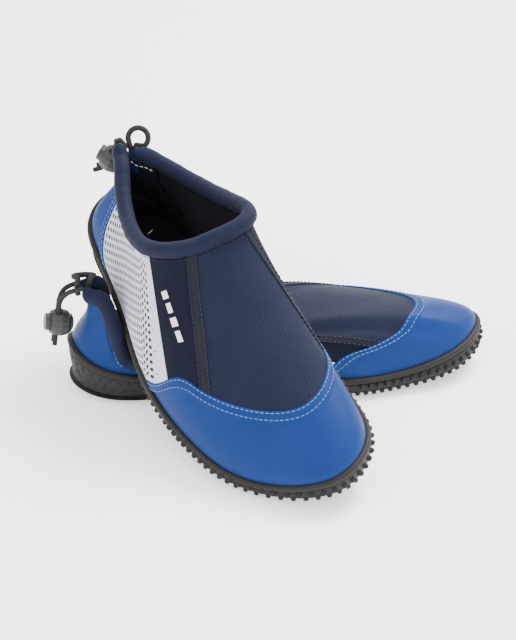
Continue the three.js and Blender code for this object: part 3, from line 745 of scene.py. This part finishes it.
lining_finish = knit_finish("black_lining", (0.006, 0.006, 0.009), (0.016, 0.016, 0.024), 0.0009,
                            relief=0.0001)
insole_finish = knit_finish("insole_cloth", (0.006, 0.006, 0.007), (0.013, 0.013, 0.015), 0.0008, 30)
print_white = Shader("white_print")
print_grain = print_white.grain(3000)
print_finish = print_white.surface(
    base_color=print_white.mix(print_grain, (0.62, 0.62, 0.64), (0.8, 0.8, 0.82)), roughness=0.5)
for side in sides:
    turns = np.arange(round_count) / round_count
    rings = []
    for inset, height in insole_profile:
        rings.append(sole_point(turns, board_inset + inset, np.full(round_count, insole_foot + height)))
    insole = ring_closed(rings, f"{side}_foam_insole", side, insole_finish)
    stands_for(insole, "insole_foam", f"{side}_insole")
    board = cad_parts[f"{side}_sock_board"]
    board.data.materials.clear()
    board.data.materials.append(lining_finish)

# The size, in a ring, printed across the insole under the heel
size_place, size_height = np.array([0.0217, 0.0087]), 0.0046
size_across, size_up = np.array([0.568, 0.823]), np.array([-0.823, 0.568])
ring_radii = (0.0047, 0.0055)


def lettering(text):
    bpy.ops.object.select_all(action="DESELECT")
    bpy.ops.object.text_add()
    words = bpy.context.object
    words.data.body = text
    words.data.size = size_height / 0.7
    words.data.align_x = "CENTER"
    words.data.align_y = "CENTER"
    words.data.resolution_u = 4
    bpy.ops.object.convert(target="MESH")
    mesh = words.data
    points = np.array([vertex.co[:2] for vertex in mesh.vertices])
    faces = [list(polygon.vertices) for polygon in mesh.polygons]
    bpy.data.objects.remove(words)
    return points, faces


number_points, number_faces = lettering("39")
angles = np.arange(72) / 72 * 2 * math.pi
circle = np.stack([np.cos(angles), np.sin(angles)], -1)
ring_points = np.concatenate([circle * radius for radius in ring_radii])
ring_faces = [[72 + i, 72 + (i + 1) % 72, (i + 1) % 72, i] for i in range(72)]
size_points = np.concatenate([number_points, ring_points])
size_faces = number_faces + [[len(number_points) + i for i in face] for face in ring_faces]
for side in sides:
    mirror = -1 if side == "left" else 1
    flat = size_place + size_points[:, :1] * mirror * size_across + size_points[:, 1:] * size_up
    lift = heel_spring * np.maximum(0, 1 - flat[:, :1] / 0.025) ** 2
    points = np.concatenate([flat, insole_top + 0.00025 + lift], 1)
    faces = size_faces if side == "right" else [face[::-1] for face in size_faces]
    uvs = [points[face][:, :2].tolist() for face in faces]
    mark = build(f"{side}_size_print", side, points, faces, uvs, [print_finish])
    finish_with(mark, "SOLIDIFY", thickness=0.0002, offset=-1)
    stands_for(mark, "insole_foam", f"{side}_insole")

# ---- The pattern of the upper ----
# The seams are given by their turns at the hidden margin, at the toe cap's edge and at the collar.
# A place on the pattern is a seam number and a level: -1 is the hidden margin, 0 the rubber's edge, 1 the
# cap's edge and 2 the collar.
outer_seams = [(0, 0, 0, 1), (0.138, 0.13, 0.098, 2), (0.276, 0.276, 0.30, 1), (0.312, 0.333, 0.325, 1),
               (0.38, 0.397, 0.425, 0.8), (0.4, 0.412, 0.446, 0.8), (0.5, 0.5, 0.5, 1)]
inner_seams = [(1 - low, 1 - edge, 1 - high, bow) for low, edge, high, bow in outer_seams[-2:0:-1]]
seams = np.array(outer_seams + inner_seams + [(1, 1, 1, 1), (1.138, 1.13, 1.098, 2)])
cap_start, cap_start_height, cap_height = 0.276, 0.06, 0.405
collar_hold = 0.7 * collar_radius


def cap_edge(turn):
    side_turn = np.minimum(np.mod(turn, 1), 1 - np.mod(turn, 1))
    f = np.clip((side_turn - cap_start) / (0.385 - cap_start), 0, 1)
    return cap_start_height + (cap_height - cap_start_height) * np.sin(f * math.pi / 2)


def near_collar(shape, reach):
    """How high on the surface, all the way round, a point is this far from the middle of the collar."""
    turns = np.arange(480) / 480
    tops = np.full(480, 0.5)
    found = np.zeros(480, dtype=bool)
    for v in np.arange(0.99, 0.12, -0.006):
        points = upper_point(turns, np.full(480, v), shape)
        away = np.min(np.linalg.norm(points[:, None] - shape["roll"][None, ::2], axis=-1), axis=1)
        now = (away > reach) & ~found
        tops[now] = v
        found |= now
    smoothed = sum(np.roll(tops, k) for k in range(-3, 4)) / 7
    return lambda turn: np.interp(np.mod(turn, 1), np.arange(481) / 480, np.append(smoothed, smoothed[0]))


for each in shapes.values():
    each["top"] = near_collar(each, collar_hold)


def seam_turn(k, level):
    low, edge, high, bow = (seams[k, column] for column in range(4))
    f, g = np.clip(level, 0, 1), np.clip(level - 1, 0, 1)
    return np.where(level < 1, low + (edge - low) * f, edge + (high - edge) * (1 - (1 - g) ** bow))


def pattern(number, level, shape):
    number, level = np.broadcast_arrays(number, level)
    k = np.clip(np.floor(number).astype(int), 0, len(seams) - 2)
    share = number - k
    turn = (1 - share) * seam_turn(k, level) + share * seam_turn(k + 1, level)
    edge_v = cap_edge((1 - share) * seams[k, 1] + share * seams[k + 1, 1])
    f, g = np.clip(level, 0, 1), np.clip(level - 1, 0, 1)
    above = edge_v + (shape["top"](turn) - edge_v) * g
    v = np.where(level < 0, level, np.where(level < 1, edge_v * f, above))
    return turn, v


def on_upper(number, level, shape, proud=0.0):
    turn, v = pattern(number, level, shape)
    return upper_point(turn, v, shape) + upper_normal(turn, v, shape) * np.asarray(proud)[..., None]


def number_at(edge_turns):
    return np.interp(edge_turns, seams[:, 1], np.arange(len(seams)))


def near_ends(values, reach):
    """Adds lines close to both ends, where an edge is rounded."""
    close = reach * np.array([0.12, 0.3, 0.6])
    return np.unique(np.concatenate([values, values[0] + close, values[-1] - close]))


def cloth_panel(name, side, first, last, low, high, relief, finish, tuck=(0, 0, 0),
                thickness=panel_thickness, step=0.0022, base=0.0):
    """A panel from one seam number to another and between two levels, with UVs in metres.

    tuck runs the panel on under its neighbours at its first side, last side and lower edge."""
    shape = shapes[side]
    edge_turns = np.interp([first, last], np.arange(len(seams)), seams[:, 1]) + (-tuck[0], tuck[1])
    count = max(6, int((edge_turns[1] - edge_turns[0]) / step))
    numbers = number_at(near_ends(np.linspace(*edge_turns, count + 1), step))
    levels = np.concatenate([np.linspace(-1, 0, 4)[:-1], np.linspace(0, 1, 34)[:-1], np.linspace(1, 2, 58)])
    foot = low - tuck[2]
    levels = near_ends(np.concatenate([levels[(levels > foot) & (levels < high)], [foot, high]]), 0.02)
    grid_numbers, grid_levels = np.meshgrid(numbers, levels)
    flat = on_upper(grid_numbers, grid_levels, shape)
    across = np.linalg.norm(np.diff(flat, axis=1), axis=-1)
    u = np.concatenate([np.zeros((len(levels), 1)), np.cumsum(across, axis=1)], axis=1)
    up = np.linalg.norm(np.diff(flat, axis=0), axis=-1)
    w = np.concatenate([np.zeros((1, len(numbers))), np.cumsum(up, axis=0)], axis=0)
    ends = {"first": u, "last": u[:, -1:] - u, "foot": w, "top": w[-1:] - w}
    proud = base + relief(ends, u, w)
    points = on_upper(grid_numbers, grid_levels, shape, proud)
    faces = grid_faces(*points.shape[:2])
    uv = np.stack([u - u[:, -1:] / 2, w], -1).reshape(-1, 2)
    piece = build(name, side, points.reshape(-1, 3), faces, uv[np.array(faces)].tolist(),
                  [finish, lining_finish])
    flattened(piece, u - u[:, -1:] / 2, w)
    finish_with(piece, "SOLIDIFY", thickness=thickness, offset=-1, use_even_offset=False, material_offset=1,
                material_offset_rim=0)
    return piece


def flattened(piece, u, w):
    """Lays the cloth out flat by its angles, in metres and in line with the panel's own length."""
    bpy.ops.object.select_all(action="DESELECT")
    piece.select_set(True)
    bpy.context.view_layer.objects.active = piece
    bpy.ops.object.mode_set(mode="EDIT")
    bpy.ops.mesh.select_all(action="SELECT")
    bpy.ops.uv.unwrap(method="CONFORMAL", margin=0)
    bpy.ops.object.mode_set(mode="OBJECT")
    piece.select_set(False)
    mesh = piece.data
    corners = np.empty(len(mesh.loops) * 2)
    mesh.uv_layers["cloth"].data.foreach_get("uv", corners)
    corner_points = np.empty(len(mesh.loops), dtype=int)
    mesh.loops.foreach_get("vertex_index", corner_points)
    laid = corners[0::2] + 1j * corners[1::2]
    wanted = (u.ravel() + 1j * w.ravel())[corner_points]
    wanted = wanted - wanted.mean()
    best = None
    for flat in (laid, np.conj(laid)):
        flat = flat - flat.mean()
        fitted = flat * (np.vdot(flat, wanted) / np.vdot(flat, flat))
        error = np.abs(fitted - wanted).sum()
        if best is None or error < best[0]:
            best = (error, fitted)
    mesh.uv_layers["cloth"].data.foreach_set("uv", np.stack([best[1].real, best[1].imag], -1).ravel())


def rounded(distance, radius=0.0009):
    gone = 1 - np.clip(distance / radius, 0, 1)
    return radius * (np.sqrt(np.maximum(0, 1 - gone * gone)) - 1)


def hem(distance, width, rise):
    """A folded, sewn-down edge: a raised band with a soft step at its inner side."""
    return rise * (1 - smoothstep(distance, width - 0.0012, width + 0.0006)) + rounded(distance)


def pucker(distance, along, reach=0.0016, depth=0.00018, pitch=0.0031):
    return -depth * np.exp(-(distance / reach) ** 2) * (0.5 + 0.5 * np.cos(2 * math.pi * along / pitch))


# ---- Stitching ----
# Lockstitch in heavy thread: each stitch is a short rounded bar that lies along its seam.
def thread_finish(name, colour, highlight):
    thread = Shader(name)
    strands = thread.grain(2500)
    return thread.surface(base_color=thread.mix(strands, colour, highlight), roughness=0.55,
                          specular_ior_level=0.25)


light_thread = thread_finish("light_blue_thread", (0.02, 0.07, 0.26), (0.13, 0.26, 0.60))
navy_thread = thread_finish("navy_thread", (0.003, 0.005, 0.015), (0.018, 0.024, 0.06))
stitch_profile = ((-0.5, 0.35), (-0.36, 0.9), (0.36, 0.9), (0.5, 0.35))


def stitch_row(points, normals, pitch=0.0030, share=0.72, radius=0.00034):
    along = lengths_along(points)
    count = int(along[-1] / pitch)
    places = (np.arange(count) + 0.5) * along[-1] / max(count, 1)
    centres = np.stack([np.interp(places, along, points[:, k]) for k in range(3)], -1)
    ups = unit(np.stack([np.interp(places, along, normals[:, k]) for k in range(3)], -1))
    tangents = np.gradient(points, axis=0)
    runs = unit(np.stack([np.interp(places, along, tangents[:, k]) for k in range(3)], -1))
    crosses = np.cross(runs, ups)
    angles = np.arange(6) / 6 * 2 * math.pi
    circle = crosses[:, None] * np.cos(angles)[None, :, None] + ups[:, None] * np.sin(angles)[None, :, None]
    rings = [centres[:, None] + runs[:, None] * (f * pitch * share) + circle * (radius * r)
             for f, r in stitch_profile]
    rings = np.stack(rings, 1)
    one = grid_faces(4, 6, wrap=True) + [list(range(6))[::-1], [18 + i for i in range(6)]]
    faces = [[index + 24 * n for index in face] for n in range(count) for face in one]
    return rings.reshape(-1, 3), faces


def seam_line(side, numbers, levels, proud):
    shape = shapes[side]
    turn, v = pattern(numbers, levels, shape)
    normals = upper_normal(turn, v, shape)
    return upper_point(turn, v, shape) + normals * proud, normals


def beside(side, numbers, levels, distance):
    """The same line moved sideways along the seam numbers by a distance on the cloth."""
    shape = shapes[side]
    step = 0.02
    width = np.linalg.norm(on_upper(numbers + step, levels, shape)
                           - on_upper(numbers - step, levels, shape), axis=-1)
    return numbers + distance * 2 * step / width


def below(side, numbers, levels, distance):
    shape = shapes[side]
    step = 0.01
    height = np.linalg.norm(on_upper(numbers, levels, shape)
                            - on_upper(numbers, levels - step, shape), axis=-1)
    return levels - distance * step / height


def sew(name, side, rows, finish, slot, replaced):
    points, faces = joined(stitch_row(line, normals) for line, normals in rows)
    uvs = [[[0, 0]] * len(face) for face in faces]
    piece = build(name, side, points, faces, uvs, [finish], crease=80)
    stands_for(piece, slot, *replaced)


# ---- Heel counter and toe cap ----
# Royal blue neoprene with a smooth satin jersey face. The counter's two front edges and the cap's top edge
# are folded into a hem, which lies on the next panel and is sewn down with two rows of stitches.
royal_finish = knit_finish("royal_neoprene", (0.004, 0.019, 0.105), (0.011, 0.044, 0.190), 0.0007,
                           relief=0.00006, roughness=0.45, contrast=0.4)
hem_width, counter_hem_width, hem_rise = 0.0072, 0.0062, 0.0009
stitch_from_edge, stitch_from_counter_edge = (0.0016, 0.0060), (0.0014, 0.0048)


def counter_relief(ends, u, w):
    side_edge = np.minimum(ends["first"], ends["last"])
    rows = sum(pucker(side_edge - d, w) for d in stitch_from_edge)
    return hem(side_edge, counter_hem_width, hem_rise) + rows


def cap_relief(ends, u, w):
    rows = sum(pucker(ends["top"] - d, u) for d in stitch_from_edge)
    return hem(ends["top"], hem_width, hem_rise) + rows


for side in sides:
    counter = cloth_panel(f"{side}_heel_counter_cloth", side, 11, 13, -1, 2, counter_relief, royal_finish)
    stands_for(counter, "royal_neoprene", f"{side}_heel_counter")
    cap = cloth_panel(f"{side}_toe_cap_cloth", side, 2, 10, -1, 1, cap_relief, royal_finish)
    stands_for(cap, "royal_neoprene", f"{side}_toe_cap")
    rows = []
    for distance in stitch_from_edge:
        numbers = np.linspace(2.02, 9.98, 400)
        rows.append(seam_line(side, numbers, below(side, numbers, np.ones(400), distance), hem_rise))
    levels = np.linspace(0.1, 1.97, 120)
    for start, inward in ((11, 1), (13, -1)):
        for distance in stitch_from_counter_edge:
            numbers = beside(side, np.full(120, float(start)), levels, inward * distance)
            rows.append(seam_line(side, numbers, levels, hem_rise))
    sew(f"{side}_blue_stitching", side, rows, light_thread, "royal_neoprene",
        [f"{side}_toe_cap", f"{side}_heel_counter"])

# ---- Side panels and vamp ----
# Navy neoprene: a fine knit face on the side panels, and a heavier diagonal twill over the instep.
knit_navy = knit_finish("navy_knit", (0.002, 0.003, 0.009), (0.007, 0.009, 0.022), 0.0009, 90, roughness=0.7)
twill_navy = knit_finish("navy_twill", (0.002, 0.003, 0.010), (0.014, 0.018, 0.044), 0.0015, 52,
                         relief=0.0002, roughness=0.62, contrast=0.8)


def turned_edges(ends, u, w):
    return rounded(np.minimum(ends["first"], ends["last"]), 0.0006)


for side in sides:
    for which, first, last in (("lateral", 3, 4.5), ("medial", 7.5, 9)):
        piece = cloth_panel(f"{side}_{which}_side_cloth", side, first, last, 1, 2, turned_edges, knit_navy,
                            tuck=(0.004, 0.004, 0.07))
        stands_for(piece, "navy_neoprene", f"{side}_{which}_side_panel")
    vamp = cloth_panel(f"{side}_vamp_cloth", side, 4.52, 7.48, 1, 2, turned_edges, twill_navy,
                       tuck=(0, 0, 0.07))
    stands_for(vamp, "navy_neoprene", f"{side}_vamp")

# ---- Seam tapes ----
# A woven tape covers each seam between the vamp and a side panel, sewn down along both its edges.
tape_finish = knit_finish("seam_tape_weave", (0.004, 0.005, 0.009), (0.02, 0.021, 0.028), 0.0012,
                          relief=0.00025, roughness=0.6, contrast=0.7)
tape_rise = 0.0007


def tape_relief(ends, u, w):
    edge = np.minimum(ends["first"], ends["last"])
    return rounded(edge, 0.0006) + pucker(edge - 0.0013, w, depth=0.0003)


for side in sides:
    rows = []
    for which, first, last in (("lateral", 4, 5), ("medial", 7, 8)):
        piece = cloth_panel(f"{side}_{which}_tape_cloth", side, first, last, 1, 2, tape_relief, tape_finish,
                            tuck=(0, 0, 0.05), thickness=0.0012, step=0.0008, base=tape_rise)
        stands_for(piece, "seam_tape", f"{side}_{which}_seam_tape")
        levels = np.linspace(1.0, 1.98, 80)
        for start, inward in ((first, 1), (last, -1)):
            numbers = beside(side, np.full(80, float(start)), levels, inward * 0.0013)
            rows.append(seam_line(side, numbers, levels, tape_rise + 0.0001))
    sew(f"{side}_tape_stitching", side, rows, navy_thread, "seam_tape",
        [f"{side}_lateral_seam_tape", f"{side}_medial_seam_tape"])

# ---- Mesh panels ----
# White spacer mesh: a face layer with staggered oval holes over a grey backing, which drains the shoe. Its
# front edge is welded flat on the navy panel, with only pin holes beside it.
mesh_white = knit_finish("mesh_face", (0.40, 0.41, 0.50), (0.78, 0.79, 0.86), 0.0006, 45, relief=0.0001,
                         roughness=0.75, sheen=0.05, contrast=0.6)
mesh_grey = knit_finish("mesh_backing", (0.020, 0.021, 0.034), (0.06, 0.063, 0.09), 0.0008,
                        relief=0.0001)
row_pitch, column_pitch = 0.0036, 0.0043
hole_half_length, hole_half_width = 0.00148, 0.00115
mesh_rise, mesh_face_thickness, backing_gap = 0.0003, 0.0003, 0.0002
plain_border, pin_hole_border = 0.0016, 0.0085
ring_places = ((-1, -1), (0, -1), (1, -1), (1, 0), (1, 1), (0, 1), (-1, 1), (-1, 0))
mesh_rows, mesh_columns = 70, 90


def mesh_level(number, share):
    """From the hidden margin beside the counter, but from just under the cap's hem in front of its corner."""
    behind = np.interp(share, (0, 0.02, 0.07, 1), (-0.5, 0, 1, 2))
    before = 0.93 + 1.07 * share
    in_front = smoothstep(np.minimum(number, 12 - number), 1.9, 2.1)
    return behind + (before - behind) * in_front


def perforated(name, side, first, last):
    shape = shapes[side]
    medial = first > 6
    edge_turns = np.interp([first, last], np.arange(len(seams)), seams[:, 1])
    edge_turns = edge_turns + ((0, 0.003) if medial else (-0.003, 0))
    numbers = number_at(np.linspace(*edge_turns, mesh_columns))
    shares = np.linspace(0, 1, mesh_rows)
    grid_numbers, grid_shares = np.meshgrid(numbers, shares)
    flat = on_upper(grid_numbers, mesh_level(grid_numbers, grid_shares), shape)
    x_of = lengths_along(flat[mesh_rows // 2])
    y_of = np.concatenate([np.zeros((1, mesh_columns)),
                           np.cumsum(np.linalg.norm(np.diff(flat, axis=0), axis=-1), axis=0)])
    keys, points, faces = {}, [], []

    def height_at(x):
        return np.interp(x, x_of, y_of[-1])

    def vertex(x, y):
        x = min(max(x, 0), x_of[-1])
        y = min(max(y, 0), height_at(x))
        key = (round(x * 1e6), round(y * 1e6))
        if key not in keys:
            keys[key] = len(points)
            points.append((x, y))
        return keys[key]

    for r in range(int(x_of[-1] / row_pitch) + 2):
        x = r * row_pitch
        from_front = x if medial else x_of[-1] - x
        from_counter = x_of[-1] - from_front
        top = height_at(min(x, x_of[-1]))
        for c in range(int(top / column_pitch) + 3):
            y = (c + 0.5 * (r % 2)) * column_pitch - column_pitch / 2
            outer = [vertex(x + a * row_pitch / 2, y + b * column_pitch / 2) for a, b in ring_places]
            near = min(from_front - row_pitch / 2, y - column_pitch / 2, top - 0.0022 - y)
            open_here = near > plain_border and from_counter > row_pitch
            size = 1.0
            if from_front < pin_hole_border or top - y < 0.0065:
                size = 0.34
                open_here = open_here and (r + 2 * c) % 3 == 0
            if not open_here:
                faces.append(list(dict.fromkeys(outer)))
                continue
            inner = []
            for a, b in ring_places:
                reach = size * (0.74 if a and b else 1)
                inner.append(vertex(x + a * hole_half_length * reach, y + b * hole_half_width * reach))
            for k in range(8):
                after = (k + 1) % 8
                faces.append([outer[k], outer[after], inner[after], inner[k]])
    points = np.array(points)
    number = np.interp(points[:, 0], x_of, numbers)
    column = np.interp(points[:, 0], x_of, np.arange(mesh_columns))
    low = np.clip(np.floor(column).astype(int), 0, mesh_columns - 2)
    part = column - low
    share = np.array([(1 - f) * np.interp(y, y_of[:, k], shares) + f * np.interp(y, y_of[:, k + 1], shares)
                      for y, k, f in zip(points[:, 1], low, part)])
    surface = on_upper(number, mesh_level(number, share), shape, np.full(len(points), mesh_rise))
    kept = []
    for face in faces:
        if len(face) > 2:
            corners = surface[face]
            if np.linalg.norm(np.cross(corners[2] - corners[0], corners[1] - corners[-1])) > 1e-8:
                kept.append(face)
    uvs = [points[face].tolist() for face in kept]
    piece = build(name, side, surface, kept, uvs, [mesh_white])
    bpy.ops.object.select_all(action="DESELECT")
    bpy.context.view_layer.objects.active = piece
    piece.select_set(True)
    bpy.ops.object.mode_set(mode="EDIT")
    bpy.ops.mesh.select_all(action="SELECT")
    bpy.ops.mesh.delete_loose()
    bpy.ops.object.mode_set(mode="OBJECT")
    piece.select_set(False)
    finish_with(piece, "SOLIDIFY", thickness=mesh_face_thickness, offset=-1)
    finish_with(piece, "SUBSURF", levels=1, render_levels=1)
    return piece


def backing_panel(name, side, first, last):
    """The grey layer behind the holes, on the same ground as the face layer."""
    shape = shapes[side]
    edge_turns = np.interp([first, last], np.arange(len(seams)), seams[:, 1]) + (-0.003, 0.003)
    numbers, shares = np.meshgrid(number_at(np.linspace(*edge_turns, 60)), np.linspace(0, 1, 34))
    levels = mesh_level(numbers, shares)
    points = on_upper(numbers, levels, shape,
                      np.full(numbers.shape, mesh_rise - mesh_face_thickness - backing_gap))
    faces = grid_faces(*points.shape[:2])
    width = float(np.linalg.norm(np.diff(points[17], axis=0), axis=-1).sum())
    length = float(np.linalg.norm(np.diff(points, axis=0), axis=-1).sum(axis=0).max())
    uv = np.stack([shares * 0 + np.linspace(0, width, 60), shares * length], -1).reshape(-1, 2)
    piece = build(name, side, points.reshape(-1, 3), faces, uv[np.array(faces)].tolist(),
                  [mesh_grey, lining_finish])
    finish_with(piece, "SOLIDIFY", thickness=0.0012, offset=-1, material_offset=1, material_offset_rim=1)
    return piece


for side in sides:
    for which, first, last in (("lateral", 1, 3), ("medial", 9, 11)):
        face = perforated(f"{side}_{which}_mesh_face", side, first, last)
        stands_for(face, "perforated_mesh", f"{side}_{which}_mesh")
        backing = backing_panel(f"{side}_{which}_mesh_backing", side, first, last)
        stands_for(backing, "perforated_mesh", f"{side}_{which}_mesh")

# ---- Collar ----
# A strip of stretch cloth rolled round soft foam, with the drawcord's channel inside. Its two ends stand
# side by side over the heel, and a row of stitches holds it to the panels below.
collar_finish = knit_finish("collar_jersey", (0.004, 0.005, 0.015), (0.013, 0.017, 0.042), 0.0011, 90,
                            roughness=0.66, sheen=0.04, contrast=0.6)
collar_end_taper = 0.0075
for side in sides:
    centres = evenly(shapes[side]["roll"], 420)
    along = lengths_along(centres)
    end_distance = np.minimum(along, along[-1] - along)
    ends = np.sqrt(np.clip(1 - (1 - np.clip(end_distance / collar_end_taper, 0, 1)) ** 2, 0.004, 1))
    swell = 1 + 0.018 * np.sin(along * 2 * math.pi / 0.021) + 0.012 * np.sin(along * 2 * math.pi / 0.0083)
    collar = tube(f"{side}_collar_roll", side, centres, collar_radius * ends * swell, 32, collar_finish)
    stands_for(collar, "collar_lycra", f"{side}_collar")

# The row of lockstitch that holds the roll to the panels, just below it
for side in sides:
    shape = shapes[side]
    seam_level = near_collar(shape, collar_radius + 0.0013)
    turns = np.linspace(0.055, 0.945, 900)
    normals = upper_normal(turns, seam_level(turns), shape)
    line = upper_point(turns, seam_level(turns), shape) + normals * 0.0003
    sew(f"{side}_collar_stitching", side, [(line, normals)], navy_thread, "collar_lycra", [f"{side}_collar"])

# ---- Print on the outer side panel ----
# Four plain white blocks of heat-pressed film, one above the other, on the navy knit.
print_blocks = ((0.0, 0.17, 1.0), (0.26, 0.46, 0.8), (0.55, 0.72, 1.0), (0.80, 1.0, 0.8))
print_ends = ((0.3565, 0.745), (0.3775, 0.555))
print_half_width, print_rise, print_thickness = 0.0046, 0.00025, 0.0002


def patch(name, side, turns, vs, proud, thickness, finish):
    """A thin curved piece that follows the surface over a grid of turns and levels."""
    shape = shapes[side]
    points = upper_point(turns, vs, shape) + upper_normal(turns, vs, shape) * proud
    faces = grid_faces(*points.shape[:2])
    uv = np.stack([np.cumsum(np.full(turns.shape, 0.001), 1), np.cumsum(np.full(turns.shape, 0.001), 0)], -1)
    corners = uv.reshape(-1, 2)[np.array(faces)].tolist()
    piece = build(name, side, points.reshape(-1, 3), faces, corners, [finish])
    finish_with(piece, "SOLIDIFY", thickness=thickness, offset=-1)
    return piece


for side in sides:
    (turn_0, v_0), (turn_1, v_1) = print_ends
    for number, (start, end, wide) in enumerate(print_blocks):
        along, across = np.meshgrid(np.linspace(start, end, 8), np.linspace(-1, 1, 9), indexing="ij")
        turns = turn_0 + (turn_1 - turn_0) * along + across * wide * print_half_width * 1.55
        levels = v_0 + (v_1 - v_0) * along + across * wide * 0.012
        block = patch(f"{side}_print_block_{number + 1}", side, turns, levels, print_rise, print_thickness,
                      print_finish)
        stands_for(block, "navy_neoprene", f"{side}_lateral_side_panel")

# ---- Inside the heel ----
# A black binding tape and a row of white stitches under the collar on the inner side, and a folded
# royal blue tab at the end of the heel seam.
inside = -(panel_thickness + 0.0004)
binding_thickness, tab_thickness = 0.0007, 0.0012
white_thread = thread_finish("white_thread", (0.35, 0.35, 0.40), (0.75, 0.75, 0.80))
for side in sides:
    shape = shapes[side]
    along, across = np.meshgrid(np.linspace(0.90, 0.985, 40), np.linspace(0, 1, 8), indexing="ij")
    tops = shape["top"](along) - 0.03
    binding = patch(f"{side}_heel_binding", side, along, tops - 0.13 * across, inside,
                    -binding_thickness, tape_finish)
    stands_for(binding, "seam_tape", f"{side}_heel_counter")
    turns = np.linspace(0.905, 0.98, 60)
    levels = shape["top"](turns) - 0.05
    normals = -upper_normal(turns, levels, shape)
    line = upper_point(turns, levels, shape) - normals * (inside - 0.0009)
    sew(f"{side}_heel_binding_stitching", side, [(line, normals)], white_thread, "seam_tape",
        [f"{side}_heel_counter"])
    along, across = np.meshgrid(np.linspace(0.955, 0.985, 10), np.linspace(0, 1, 10), indexing="ij")
    tab = patch(f"{side}_heel_tab", side, along, 0.80 - 0.13 * across, inside, -tab_thickness,
                royal_finish)
    stands_for(tab, "royal_neoprene", f"{side}_heel_counter")

# ---- Cord lock ----
# A ball-shaped housing of black plastic with a flat face, through which a sprung plunger stands out; the
# plunger's hole and the housing's slot pinch both cord strands.
plastic = Shader("black_plastic")
plastic_grain = plastic.grain(2600, 3)
plastic_finish = plastic.surface(
    base_color=plastic.mix(plastic_grain, (0.010, 0.010, 0.010), (0.030, 0.029, 0.028)),
    roughness=0.34 + 0.18 * plastic_grain, specular_ior_level=0.4,
    normal=plastic.bump(plastic_grain, 0.0001, 0.3))
steel = Shader("spring_steel")
steel_grain = steel.grain(900)
steel_finish = steel.surface(base_color=steel.mix(steel_grain, (0.45, 0.45, 0.47), (0.7, 0.7, 0.72)),
                             metallic=1.0, roughness=0.3 + 0.15 * steel_grain)
for side in sides:
    for node, finish in (("cord_lock_body", plastic_finish), ("cord_lock_button", plastic_finish),
                         ("cord_lock_spring", steel_finish)):
        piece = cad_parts[f"{side}_{node}"]
        piece.data.materials.clear()
        piece.data.materials.append(finish)
